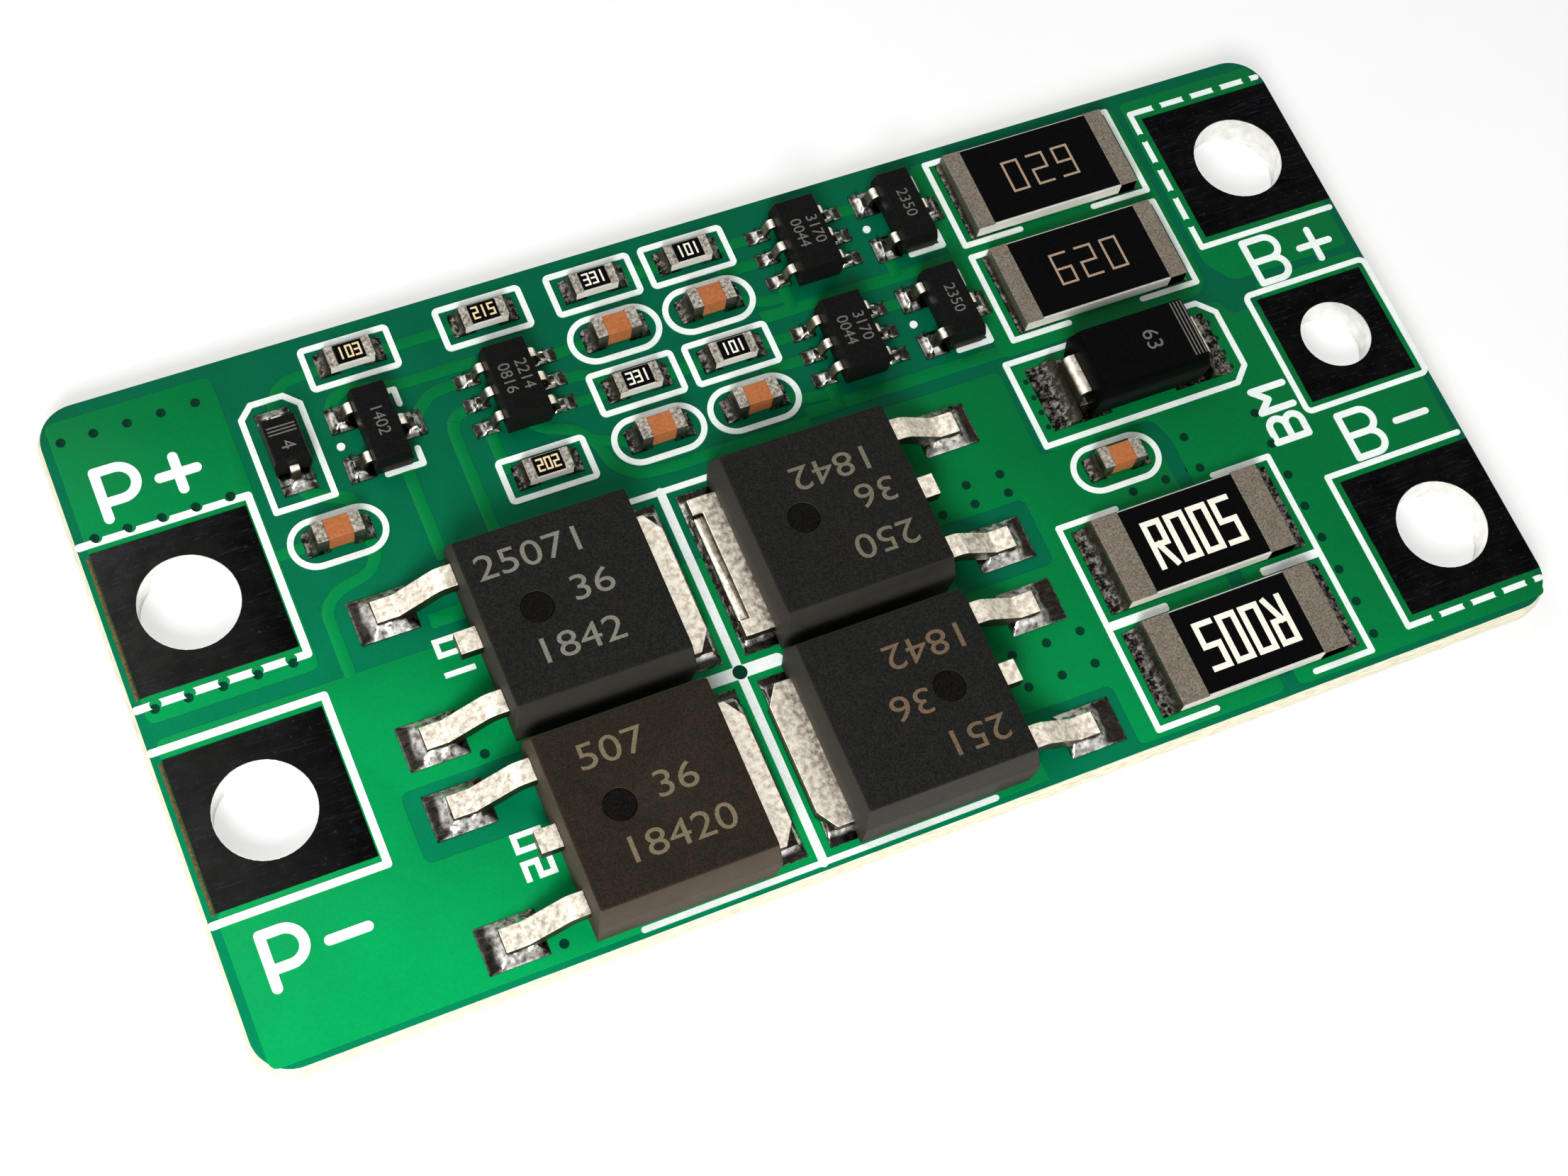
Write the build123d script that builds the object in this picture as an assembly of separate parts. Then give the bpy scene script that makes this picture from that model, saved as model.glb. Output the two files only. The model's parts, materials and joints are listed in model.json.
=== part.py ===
"""Battery management board: a bare board with two load pads and three battery pads, four power
transistors, four power resistors, two diodes and the small parts of the protection circuit.

Frame: origin at the centre of the board's underside, +X along its length from the load pads
to the battery pads, +Y across it from the power transistors to the chip rows, +Z up.
Every part stands on soldered lands on the board's upper face.
"""
import math
import os

from build123d import *

os.makedirs("parts", exist_ok=True)

# Bare board
board_thickness = 1.2
corner_radius = 1.3
score_reach = 0.12
score_height = 0.38
left_margin = 0.31
right_margin = 0.05
top_margin = 0.92
bottom_margin = 0.36

# Layers on the board's upper face
land_thickness = 0.06
fillet_hollow = 0.35
fillet_reach_share = 0.9
fillet_slope = 1.2
print_thickness = 0.05
via_diameter = 0.32
via_print_gap = 0.03
via_depth = 0.12
via_pitch = 1.27
small_via_diameter = 0.2
small_via_pitch = 0.6
load_via_inset = 0.4
load_via_pitch = 1.1
load_via_rise = 0.16
mosfet_via_start = 0.25
mosfet_via_rows = (-0.06, -0.66)
mosfet_via_gap = 0.2

# Load pads at the left end
load_pad_length = 5.17
load_pad_width = 5.27
load_pad_gap = 2.17
load_hole_diameter = 3.3
load_hole_shift = 0.15

# Battery pads at the right end
battery_pad_length = 5.2
battery_pad_width = 5.3
battery_hole_diameter = 3.3
battery_hole_inset = 2.55
battery_top_margin = 1.3
battery_bottom_margin = 1.13
middle_pad_length = 4.25
middle_pad_width = 4.33
middle_hole_diameter = 2.6
battery_pad_clearance = 1.2

# Bend radii of leads, as multiples of the metal's thickness
outer_bend = 1.3
inner_bend = 0.4
fold_bend = 1.4

# Power transistors: a moulded case over a drain tab, with two bent leads and a cut stub
mosfet_case_length = 6.1
mosfet_case_width = 6.54
mosfet_case_height = 2.3
mosfet_bevel = 0.33
mosfet_draft = 0.1
mosfet_edge_radius = 0.1
mosfet_pin_mark_diameter = 1.1
mosfet_pin_mark_depth = 0.06
mosfet_pin_mark_inset = 1.9
mosfet_metal = 0.5
mosfet_exit_height = 0.95
mosfet_lead_width = 0.8
mosfet_lead_pitch = 4.57
mosfet_lead_reach = 2.73
mosfet_shoulder = 0.45
mosfet_foot = 0.9
mosfet_stub_reach = 0.76
mosfet_tab_width = 5.2
mosfet_tab_reach = 1.0
mosfet_tab_inside = 4.9
mosfet_tab_corner = 0.45
mosfet_tab_corner_width = 0.68
mosfet_notch_depth = 0.35
mosfet_notch_side = 0.6
mosfet_land_length = 2.0
mosfet_land_width = 1.56
mosfet_toe = 0.67
mosfet_tab_land_width = 6.05
mosfet_tab_land_toe = 0.15
mosfet_row_gap = 0.46
mosfet_tab_gap = 1.1
mosfet_drift = 0.25

# Power resistors: a ceramic bar with wrapped metal ends and a glazed top
power_resistor_length = 6.4
power_resistor_width = 3.2
power_resistor_height = 0.62
power_resistor_cap_metal = 0.05
sense_cap_length = 1.0
bleed_cap_length = 0.68
glaze_thickness = 0.05
glaze_side_margin = 0.06
sense_land_toe = 0.58
bleed_land_toe = 0.15
power_land_inside = 1.5
power_fillet_height = 0.42
sense_row_gap = 0.72
bleed_row_gap = 0.84

# Power diode: a drafted block with two folded leads
diode_case_length = 4.3
diode_case_width = 2.6
diode_case_height = 2.1
diode_case_draft = 0.17
diode_metal = 0.2
diode_lead_width = 1.5
diode_lead_reach = 0.45
diode_lead_height = 1.25
diode_lead_fold = 1.1
diode_land_width = 2.5
diode_land_inside = 1.32
diode_land_toe = 0.94
diode_fillet_height = 0.55

# Small diode, long side across the board
small_diode_case_length = 1.7
small_diode_case_width = 1.25
small_diode_case_height = 0.95
small_diode_lead_width = 0.34
small_diode_lead_reach = 0.42
small_diode_land_length = 1.05
small_diode_land_width = 1.15
small_diode_land_toe = 0.3

# Six-lead controllers and three-lead transistors, with bent leads to both sides
small_metal = 0.15
small_exit_height = 0.45
small_case_draft = 0.07
small_edge_radius = 0.05
small_foot_share = 0.45
small_shoulder_share = 0.2
controller_case_length = 2.9
controller_case_width = 1.6
controller_case_height = 1.1
controller_lead_pitch = 0.95
controller_lead_width = 0.36
controller_lead_reach = 0.6
controller_land_length = 0.85
controller_land_width = 0.5
controller_land_toe = 0.4
transistor_case_length = 2.9
transistor_case_width = 1.3
transistor_case_height = 1.0
transistor_lead_pitch = 1.9
transistor_lead_width = 0.42
transistor_lead_reach = 0.55
transistor_land_length = 0.9
transistor_land_width = 0.95
transistor_land_toe = 0.3

# Chip resistors and capacitors
chip_length = 1.6
chip_width = 0.8
chip_resistor_height = 0.45
chip_capacitor_height = 0.8
chip_resistor_cap_length = 0.3
chip_capacitor_cap_length = 0.38
chip_cap_metal = 0.03
chip_land_inside = 0.4
chip_land_toe = 0.36
chip_land_width = 0.88
chip_resistor_fillet_height = 0.3
chip_capacitor_fillet_height = 0.5
chip_glaze_end_gap = 0.01
chip_glaze_side_margin = 0.04

# Clear gaps between the columns, from the left end to the right end
load_pad_to_mosfet = 1.84
load_pad_to_diode = 1.27
diode_to_transistor = 1.02
transistor_to_controller = 1.44
controller_to_chips = 1.05
chip_column_gap = 1.18
chips_to_controller = 1.05
controller_to_transistor = 0.52
transistor_to_bleed = 0.55
mosfet_to_sense = 1.48
mosfet_to_power_diode = 2.65
mosfet_to_capacitor = 3.0
column_to_battery_pad = 1.5

# Clear gaps between the rows
mosfet_to_chips = 1.75
chip_row_gap = 1.23
bleed_top_margin = 0.73
bleed_to_power_diode = 1.39
power_diode_to_capacitor = 0.6
capacitor_to_sense = 1.46
sense_bottom_margin = 0.78

# White print: frames, polarity marks and pad letters
frame_stroke = 0.21
load_frame_stroke = 0.26
middle_stroke = 0.3
cross_stroke = 0.44
border_stroke = 0.2
letter_stroke = 0.34
small_letter_stroke = 0.25
letter_height = 1.73
letter_width = 1.22
small_letter_height = 1.27
small_letter_width = 0.87
letter_gap = 0.75
letter_m_dip = 0.62
load_letter_inset = 0.98
load_letter_drop = 0.79
battery_letter_inset = 4.11
battery_plus_letter_gap = 0.27
battery_minus_letter_gap = 0.5
middle_letter_gap = 0.35
middle_letter_drop = 3.17
frame_gap = 0.33
frame_side_gap = 0.19
print_edge_gap = 0.12
chip_frame_length = 2.98
chip_frame_width = 1.52
capsule_length = 3.15
capsule_width = 1.65
chip_frame_radius = 0.11
bracket_tail = 2.2
sense_bracket_reach = 0.31
bleed_bracket_reach = 0.17
diode_frame_end_gap = 0.53
diode_frame_side_gap = 0.43
diode_frame_corner = 0.55
small_diode_frame_end_gap = 0.73
small_diode_frame_corner = 0.45
transistor_tick = 0.35
transistor_long_tick = 1.23
transistor_dot_diameter = 0.28
middle_print_arm = 1.33
middle_print_long_arm = 1.86
mark_width = 0.5
mark_height = 0.85
mark_stroke = 0.19
mark_pitch = 0.95
mark_drop = 0.35

# Number codes on the resistors: width, height, stroke and gap of each kind's digits
code_thickness = 0.02
sense_code = (0.54, 1.62, 0.2, 0.14)
bleed_code = (0.58, 1.2, 0.08, 0.34)
chip_code = (0.17, 0.42, 0.06, 0.05)

# Columns, as distances from the board's left edge
load_pad_x = left_margin + load_pad_length / 2
load_pad_end = left_margin + load_pad_length
mosfet_side_reach = mosfet_lead_reach + mosfet_toe
mosfet_a_x = load_pad_end + load_pad_to_mosfet + mosfet_side_reach + mosfet_case_length / 2
mosfet_b_x = mosfet_a_x + mosfet_case_length + 2 * mosfet_tab_reach + mosfet_tab_gap
mosfet_end = mosfet_b_x + mosfet_case_length / 2 + mosfet_side_reach
sense_half = power_resistor_length / 2 + sense_land_toe
bleed_half = power_resistor_length / 2 + bleed_land_toe
diode_half = diode_case_length / 2 + diode_lead_reach + diode_land_toe
chip_half = chip_length / 2 + chip_land_toe
controller_half = controller_case_width / 2 + controller_lead_reach + controller_land_toe
transistor_half = transistor_case_width / 2 + transistor_lead_reach + transistor_land_toe
small_diode_x = load_pad_end + load_pad_to_diode + small_diode_land_width / 2
transistor_a_x = small_diode_x + small_diode_land_width / 2 + diode_to_transistor + transistor_half
controller_a_x = transistor_a_x + transistor_half + transistor_to_controller + controller_half
chip_a_x = controller_a_x + controller_half + controller_to_chips + chip_half
chip_b_x = chip_a_x + 2 * chip_half + chip_column_gap
controller_b_x = chip_b_x + chip_half + chips_to_controller + controller_half
transistor_b_x = controller_b_x + controller_half + controller_to_transistor + transistor_half
bleed_x = transistor_b_x + transistor_half + transistor_to_bleed + bleed_half
sense_x = mosfet_end + mosfet_to_sense + sense_half
diode_x = mosfet_end + mosfet_to_power_diode + diode_half
capacitor_x = mosfet_end + mosfet_to_capacitor + chip_half
columns_end = max(bleed_x + bleed_half, sense_x + sense_half, diode_x + diode_half)
board_length = columns_end + column_to_battery_pad + battery_pad_length + right_margin

# Rows, as distances from the board's lower edge
mosfet_row_1 = bottom_margin + mosfet_case_width / 2
mosfet_row_2 = mosfet_row_1 + mosfet_case_width + mosfet_row_gap
chip_pitch = chip_width + chip_row_gap
chip_row_4 = mosfet_row_2 + mosfet_case_width / 2 + mosfet_to_chips + chip_width / 2
chip_rows = [chip_row_4 + (3 - row) * chip_pitch for row in range(4)]
left_stack = chip_rows[0] + chip_width / 2 + top_margin
resistor_pair = 2 * power_resistor_width
lower_stack = sense_bottom_margin + resistor_pair + sense_row_gap + capacitor_to_sense + chip_land_width
upper_stack = bleed_top_margin + resistor_pair + bleed_row_gap + bleed_to_power_diode + diode_land_width
right_stack = lower_stack + power_diode_to_capacitor + upper_stack
pad_margins = battery_top_margin + battery_bottom_margin
battery_stack = pad_margins + 2 * (battery_pad_width + battery_pad_clearance) + middle_pad_width
board_width = max(left_stack, right_stack, battery_stack)

half_length = board_length / 2
half_width = board_width / 2
seat = board_thickness + land_thickness


def place(from_left, from_bottom, height=0.0, turn=0.0):
    """Location over the board, from distances off its left and lower edges."""
    spot = Pos(from_left - half_length, from_bottom - half_width, height)
    return spot * Rot(0, 0, turn)


def block(length, width, height, x=0.0, y=0.0, z=0.0):
    """Box that stands on z, centred on x and y."""
    return Pos(x, y, z) * Box(length, width, height, align=(Align.CENTER, Align.CENTER, Align.MIN))


def moulded_case(length, width, height, side, drafts, z=0.0):
    """Moulded case with a straight band where its leads come out, and drafted faces above it.

    side gives the band's lower and upper height, drafts the inset of the top in X and in Y.
    """
    low, high = side
    foot = drafts[0] / 2
    rows = (
        (0.0, length - 2 * foot, width - 2 * foot),
        (low, length, width),
        (high, length, width),
        (height, length - 2 * drafts[0], width - 2 * drafts[1]),
    )
    sections = [Plane.XY.offset(z + level) * Rectangle(wide, deep) for level, wide, deep in rows]
    return loft(sections, ruled=True)


def rounded_top(case, above, radius):
    """The case with all edges above a height rounded."""
    edges = [edge for edge in case.edges() if edge.center().Z > above]
    return fillet(edges, radius)


def beside(points, distance):
    """Points of a line that runs at a distance to the right of another, with mitred corners."""
    moved = []
    for index, (x, z) in enumerate(points):
        normals = []
        for first, second in ((index - 1, index), (index, index + 1)):
            if first < 0 or second >= len(points):
                continue
            run = (points[second][0] - points[first][0], points[second][1] - points[first][1])
            length = math.hypot(*run)
            normals.append((run[1] / length, -run[0] / length))
        across = [sum(values) / len(normals) for values in zip(*normals)]
        scale = distance / (across[0] ** 2 + across[1] ** 2)
        moved.append((x + across[0] * scale, z + across[1] * scale))
    return moved


def bent_strip(points, radii, thickness, width):
    """Metal strip of one width; points and radii give one side, the metal lies to its right."""
    other_radii = []
    for before, corner, after, radius in zip(points, points[1:], points[2:], radii):
        cross = (corner[0] - before[0]) * (after[1] - corner[1])
        cross -= (corner[1] - before[1]) * (after[0] - corner[0])
        other_radii.append(radius - math.copysign(thickness, -cross))
    near = FilletPolyline(*points, radius=radii)
    far = FilletPolyline(*beside(points, thickness), radius=other_radii)
    profile = make_face(near + far + Line(near @ 0, far @ 0) + Line(near @ 1, far @ 1))
    return extrude(Plane.XZ * profile, width / 2, both=True)


def gull_lead(reach, exit_height, foot, shoulder, thickness, width):
    """Lead from its toe at X = reach up to the case's side at X = 0, its foot on z = 0."""
    points = [(reach, 0), (reach - foot, 0), (shoulder, exit_height), (0, exit_height)]
    return bent_strip(points, [outer_bend * thickness, inner_bend * thickness], thickness, width)


def folded_lead(reach, height, fold, thickness, width):
    """Lead that leaves a case at X = 0, turns down and folds back under the case."""
    points = [(0, height), (reach, height), (reach, 0), (reach - fold, 0)]
    return bent_strip(points, [fold_bend * thickness, fold_bend * thickness], thickness, width)


def soldered_land(inner, outer, width, face=0.0, rise=0.0):
    """Tinned land from X = inner to X = outer; solder climbs to rise on an end face at X = face."""
    if rise <= 0:
        return block(outer - inner, width, land_thickness, x=(inner + outer) / 2, z=board_thickness)
    top = land_thickness
    run = min(fillet_reach_share * (outer - face), rise)
    rise = min(rise, fillet_slope * run)
    crest = (face, top + rise)
    toe = (face + run, top)
    flat = Polyline(crest, (face, top), (inner, top), (inner, 0), (outer, 0), (outer, top), toe)
    middle = (face + fillet_hollow * run, top + fillet_hollow * rise)
    hollow = ThreePointArc(toe, middle, crest)
    profile = make_face(flat + hollow)
    return Pos(0, 0, board_thickness) * extrude(Plane.XZ * profile, width / 2, both=True)


def save(name, solids):
    """Write one node, a single solid or a group of separate ones."""
    node = solids[0] if len(solids) == 1 else Compound(children=list(solids))
    node.label = name
    export_step(node, f"parts/{name}.step")


# Terminal pads: centre of each pad, its size, and its hole
load_shift = (load_pad_gap + load_pad_width) / 2
battery_pad_x = board_length - right_margin - battery_pad_length / 2
battery_hole_x = board_length - battery_hole_inset
battery_plus_y = board_width - battery_top_margin - battery_pad_width / 2
battery_minus_y = battery_bottom_margin + battery_pad_width / 2
terminals = {
    "load_plus": (
        (load_pad_x, half_width + load_shift),
        (load_pad_length, load_pad_width),
        (load_pad_x - load_hole_shift, load_hole_diameter),
    ),
    "load_minus": (
        (load_pad_x, half_width - load_shift),
        (load_pad_length, load_pad_width),
        (load_pad_x - load_hole_shift, load_hole_diameter),
    ),
    "battery_plus": (
        (battery_pad_x, battery_plus_y),
        (battery_pad_length, battery_pad_width),
        (battery_hole_x, battery_hole_diameter),
    ),
    "battery_middle": (
        (battery_hole_x, half_width),
        (middle_pad_length, middle_pad_width),
        (battery_hole_x, middle_hole_diameter),
    ),
    "battery_minus": (
        (battery_pad_x, battery_minus_y),
        (battery_pad_length, battery_pad_width),
        (battery_hole_x, battery_hole_diameter),
    ),
}


def terminal(centre, size, hole):
    """Tinned pad, open over its hole."""
    hole_x, diameter = hole
    pad = place(*centre) * block(*size, land_thickness, z=board_thickness)
    return pad - place(hole_x, centre[1], seat) * Cylinder(diameter / 2, 2 * board_thickness)


# Where each kind of part stands
mosfet_places = [
    (mosfet_a_x, mosfet_row_2, 0.0),
    (mosfet_b_x, mosfet_row_2, 180.0),
    (mosfet_a_x, mosfet_row_1, 0.0),
    (mosfet_b_x - mosfet_drift, mosfet_row_1, 180.0),
]
sense_low = sense_bottom_margin + power_resistor_width / 2
sense_high = sense_low + power_resistor_width + sense_row_gap
bleed_high = board_width - bleed_top_margin - power_resistor_width / 2
bleed_low = bleed_high - power_resistor_width - bleed_row_gap
diode_y = bleed_low - power_resistor_width / 2 - bleed_to_power_diode - diode_land_width / 2
capacitor_y = sense_high + power_resistor_width / 2 + capacitor_to_sense + chip_land_width / 2
between = [(chip_rows[row] + chip_rows[row + 1]) / 2 for row in range(3)]
controller_places = [
    (controller_a_x, between[1]),
    (controller_b_x, between[0]),
    (controller_b_x, between[2]),
]
transistor_places = [
    (transistor_a_x, between[1]),
    (transistor_b_x, between[0]),
    (transistor_b_x, between[2]),
]
small_diode_y = between[1] + small_diode_lead_reach
chip_resistor_places = {
    "gate_resistor": (transistor_a_x, chip_rows[0], "103"),
    "sense_filter_resistor": (controller_a_x, chip_rows[0], "512"),
    "supply_resistor_1": (chip_a_x, chip_rows[0], "331"),
    "supply_resistor_2": (chip_a_x, chip_rows[2], "331"),
    "balance_resistor_1": (chip_b_x, chip_rows[0], "101"),
    "balance_resistor_2": (chip_b_x, chip_rows[2], "101"),
    "load_sense_resistor": (controller_a_x, chip_rows[3], "202"),
}
small_diode_left = small_diode_x - small_diode_land_width / 2
chip_capacitor_places = {
    "load_capacitor": (small_diode_left + chip_half, chip_rows[3]),
    "supply_capacitor_1": (chip_a_x, chip_rows[1]),
    "supply_capacitor_2": (chip_a_x, chip_rows[3]),
    "cell_capacitor_1": (chip_b_x, chip_rows[1]),
    "cell_capacitor_2": (chip_b_x, chip_rows[3]),
    "battery_capacitor": (capacitor_x, capacitor_y),
}


def mosfet_metal_parts(notched):
    """Drain tab, cut centre stub and two bent leads, leads towards -X."""
    half = mosfet_case_length / 2
    inner = half - mosfet_tab_inside
    outer = half + mosfet_tab_reach
    side = mosfet_tab_width / 2
    cut = outer - mosfet_tab_corner
    shoulder = side - mosfet_tab_corner_width
    if notched:
        low = side - mosfet_notch_side
        end = outer - mosfet_notch_depth
        outline = Polyline(
            (inner, -side), (outer, -side), (outer, -low), (end, -low),
            (end, low), (outer, low), (outer, side), (inner, side), close=True,
        )
    else:
        outline = Polyline(
            (inner, -side), (cut, -side), (outer, -shoulder),
            (outer, shoulder), (cut, side), (inner, side), close=True,
        )
    tab = extrude(make_face(outline), mosfet_metal)
    lead = gull_lead(
        mosfet_lead_reach, mosfet_exit_height, mosfet_foot, mosfet_shoulder, mosfet_metal, mosfet_lead_width
    )
    leads = [
        Pos(-half, y, 0) * Rot(0, 0, 180) * lead
        for y in (-mosfet_lead_pitch / 2, mosfet_lead_pitch / 2)
    ]
    stub = block(
        mosfet_stub_reach, mosfet_lead_width, mosfet_metal,
        x=-half - mosfet_stub_reach / 2, z=mosfet_exit_height,
    )
    return tab, [tab, stub] + leads


def mosfet(notched):
    """Case and metal of one power transistor, standing on z = 0."""
    tab, metal = mosfet_metal_parts(notched)
    side = (mosfet_exit_height, mosfet_exit_height + mosfet_metal)
    case = moulded_case(
        mosfet_case_length, mosfet_case_width, mosfet_case_height, side, (mosfet_draft, mosfet_bevel)
    )
    case = rounded_top(case, side[1] + mosfet_edge_radius, mosfet_edge_radius)
    pin_mark = Cylinder(mosfet_pin_mark_diameter / 2, 2 * mosfet_pin_mark_depth)
    pin_x = mosfet_pin_mark_inset - mosfet_case_length / 2
    if notched:
        pin_x = -pin_x
    return case - tab - Pos(pin_x, 0, mosfet_case_height) * pin_mark, metal


def mosfet_lands():
    """Two lead lands and the large drain land of one power transistor."""
    toe = mosfet_case_length / 2 + mosfet_side_reach
    lead_land = block(
        mosfet_land_length, mosfet_land_width, land_thickness,
        x=-toe + mosfet_land_length / 2, z=board_thickness,
    )
    end = mosfet_case_length / 2 + mosfet_tab_reach + mosfet_tab_land_toe
    start = mosfet_case_length / 2 - mosfet_tab_inside
    tab_land = block(
        end - start, mosfet_tab_land_width, land_thickness,
        x=(start + end) / 2, z=board_thickness,
    )
    pitch = mosfet_lead_pitch / 2
    return [Pos(0, -pitch, 0) * lead_land, Pos(0, pitch, 0) * lead_land, tab_land]


def power_resistor(cap_length):
    """Ceramic bar, glazed top and two wrapped ends, standing on z = 0."""
    metal = power_resistor_cap_metal
    length = power_resistor_length - 2 * metal
    body = block(length, power_resistor_width, power_resistor_height - 2 * metal, z=metal)
    glaze_length = power_resistor_length - 2 * cap_length
    glaze_width = power_resistor_width - 2 * glaze_side_margin
    glaze = block(glaze_length, glaze_width, glaze_thickness, z=power_resistor_height - metal)
    ends = []
    for side in (-1, 1):
        x = side * (power_resistor_length - cap_length) / 2
        cap = block(cap_length, power_resistor_width, power_resistor_height, x=x)
        ends.append(cap - body)
    return body, glaze, ends


def small_lead(reach, width):
    """Bent lead of the small packages, its foot and shoulder set by its reach."""
    exit_height = small_exit_height + small_metal / 2
    foot = small_foot_share * reach
    return gull_lead(reach, exit_height, foot, small_shoulder_share * reach, small_metal, width)


def small_package(length, width, height, left, right, pitch, lead_width, reach):
    """Small moulded case, long side along Y, with left and right leads spread at a pitch."""
    band = (small_exit_height, small_exit_height + small_metal)
    case = moulded_case(
        width, length, height, band, (small_case_draft, small_case_draft), z=small_metal / 2
    )
    case = rounded_top(case, band[1] + small_metal, small_edge_radius)
    lead = small_lead(reach, lead_width)
    leads = []
    for count, turn in ((left, 180), (right, 0)):
        for step in range(count):
            y = (step - (count - 1) / 2) * pitch
            leads.append(Pos(0, y, 0) * Rot(0, 0, turn) * Pos(width / 2, 0, 0) * lead)
    return case, leads


def toe_lands(half, length, width, toe, left, right, pitch):
    """Lands under left and right leads whose toes reach half a package plus the leads."""
    lands = []
    land = soldered_land(half + toe - length, half + toe, width, face=half, rise=small_metal)
    for count, turn in ((left, 180), (right, 0)):
        for step in range(count):
            y = (step - (count - 1) / 2) * pitch
            lands.append(Pos(0, y, 0) * Rot(0, 0, turn) * land)
    return lands


def power_diode():
    """Drafted block and two folded leads, standing on z = 0."""
    case = moulded_case(
        diode_case_length, diode_case_width, diode_case_height - diode_metal,
        (diode_lead_height - 2 * diode_metal, diode_lead_height),
        (diode_case_draft, diode_case_draft), z=diode_metal,
    )
    case = rounded_top(case, diode_lead_height + 2 * diode_metal, small_edge_radius)
    lead = folded_lead(
        diode_lead_reach, diode_lead_height, diode_lead_fold, diode_metal, diode_lead_width
    )
    half = diode_case_length / 2
    leads = [Rot(0, 0, turn) * Pos(half, 0, 0) * lead for turn in (0, 180)]
    return case, leads


def small_diode():
    """Small drafted case, long side along Y, with one bent lead at each end."""
    band = (small_exit_height, small_exit_height + small_metal)
    case = moulded_case(
        small_diode_case_length, small_diode_case_width, small_diode_case_height, band,
        (small_case_draft, small_case_draft), z=small_metal / 2,
    )
    case = rounded_top(case, band[1] + small_metal, small_edge_radius)
    lead = small_lead(small_diode_lead_reach, small_diode_lead_width)
    half = small_diode_case_length / 2
    leads = [Rot(0, 0, turn) * Pos(half, 0, 0) * lead for turn in (0, 180)]
    return Rot(0, 0, 90) * case, [Rot(0, 0, 90) * lead for lead in leads]


def chip(height, cap_length, wraps_sides):
    """Body and two metal ends of a chip part, standing on z = 0, long side along X."""
    metal = chip_cap_metal
    width = chip_width - 2 * metal if wraps_sides else chip_width
    body = block(chip_length - 2 * metal, width, height - 2 * metal, z=metal)
    ends = []
    for side in (-1, 1):
        x = side * (chip_length - cap_length) / 2
        cap = block(cap_length, chip_width, height, x=x)
        ends.append(cap - body)
    return body, ends


def stroke(line, width):
    """Printed stroke with round ends along an open line."""
    return make_face(offset(line, width / 2, side=Side.BOTH, closed=True))


def bar(start, end, width):
    """Printed stroke with round ends between two points."""
    return stroke(Line(start, end), width)


def ring(length, width, stroke_width, radius):
    """Rounded rectangular frame, its line centred on length by width."""
    outer = RectangleRounded(length + stroke_width, width + stroke_width, radius + stroke_width / 2)
    inner = RectangleRounded(length - stroke_width, width - stroke_width, radius - stroke_width / 2)
    return outer - inner


def letter_p(height, width, pen):
    """Letter P from its lower left corner: a stem and a round bowl."""
    bowl = 2 * height / 3
    radius = bowl / 2
    line = Polyline((0, height), (width - radius, height))
    line += CenterArc((width - radius, height - radius), radius, 90, -180)
    line += Line((width - radius, height - bowl), (0, height - bowl))
    return [bar((0, 0), (0, height), pen), stroke(Wire(line.edges()), pen)]


def letter_b(height, width, pen):
    """Letter B from its lower left corner: a stem and two round bowls."""
    radius = height / 4
    faces = [bar((0, 0), (0, height), pen)]
    for low in (0, height / 2):
        line = Line((0, low), (width - radius, low))
        line += CenterArc((width - radius, low + radius), radius, -90, 180)
        line += Line((width - radius, low + 2 * radius), (0, low + 2 * radius))
        faces.append(stroke(Wire(line.edges()), pen))
    return faces


def letter_m(height, width, pen):
    """Letter M from its lower left corner."""
    dip = (width / 2, letter_m_dip * height)
    return [stroke(Polyline((0, 0), (0, height), dip, (width, height), (width, 0)), pen)]


def sign(plus, length, pen):
    """Plus or minus sign about its centre."""
    half = length / 2
    bars = [bar((-half, 0), (half, 0), pen)]
    if plus:
        bars.append(bar((0, -half), (0, half), pen))
    return bars


# Digits as runs over a cell of two squares: corners are (column, row) with row 0 at the foot
digit_runs = {
    "0": [((0, 0), (0, 2)), ((0, 2), (1, 2)), ((1, 2), (1, 0)), ((1, 0), (0, 0))],
    "1": [((0.5, 0), (0.5, 2))],
    "2": [((0, 2), (1, 2)), ((1, 2), (1, 1)), ((1, 1), (0, 1)), ((0, 1), (0, 0)), ((0, 0), (1, 0))],
    "3": [((0, 2), (1, 2)), ((1, 2), (1, 0)), ((0, 1), (1, 1)), ((0, 0), (1, 0))],
    "5": [((1, 2), (0, 2)), ((0, 2), (0, 1)), ((0, 1), (1, 1)), ((1, 1), (1, 0)), ((1, 0), (0, 0))],
    "6": [((1, 2), (0, 2)), ((0, 2), (0, 0)), ((0, 0), (1, 0)), ((1, 0), (1, 1)), ((1, 1), (0, 1))],
    "R": [((0, 0), (0, 2)), ((0, 2), (1, 2)), ((1, 2), (1, 1)), ((1, 1), (0, 1)), ((0.4, 1), (1, 0))],
}


def digit(character, width, height, pen):
    """One squared digit centred on the origin; width and height are those of its line."""
    faces = []
    for start, end in digit_runs[character]:
        x0, x1 = ((column - 0.5) * width for column in (start[0], end[0]))
        y0, y1 = ((row - 1) * height / 2 for row in (start[1], end[1]))
        run = math.hypot(x1 - x0, y1 - y0)
        angle = math.degrees(math.atan2(y1 - y0, x1 - x0))
        faces.append(Pos((x0 + x1) / 2, (y0 + y1) / 2) * Rot(0, 0, angle) * Rectangle(run + pen, pen))
    return Sketch() + faces


def code(text, width, height, pen, gap):
    """Row of squared digits centred on the origin, as flat faces."""
    step = width + pen + gap
    digits = []
    for index, character in enumerate(text):
        x = (index - (len(text) - 1) / 2) * step
        digits.append(Pos(x, 0) * digit(character, width, height, pen))
    return digits


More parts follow.
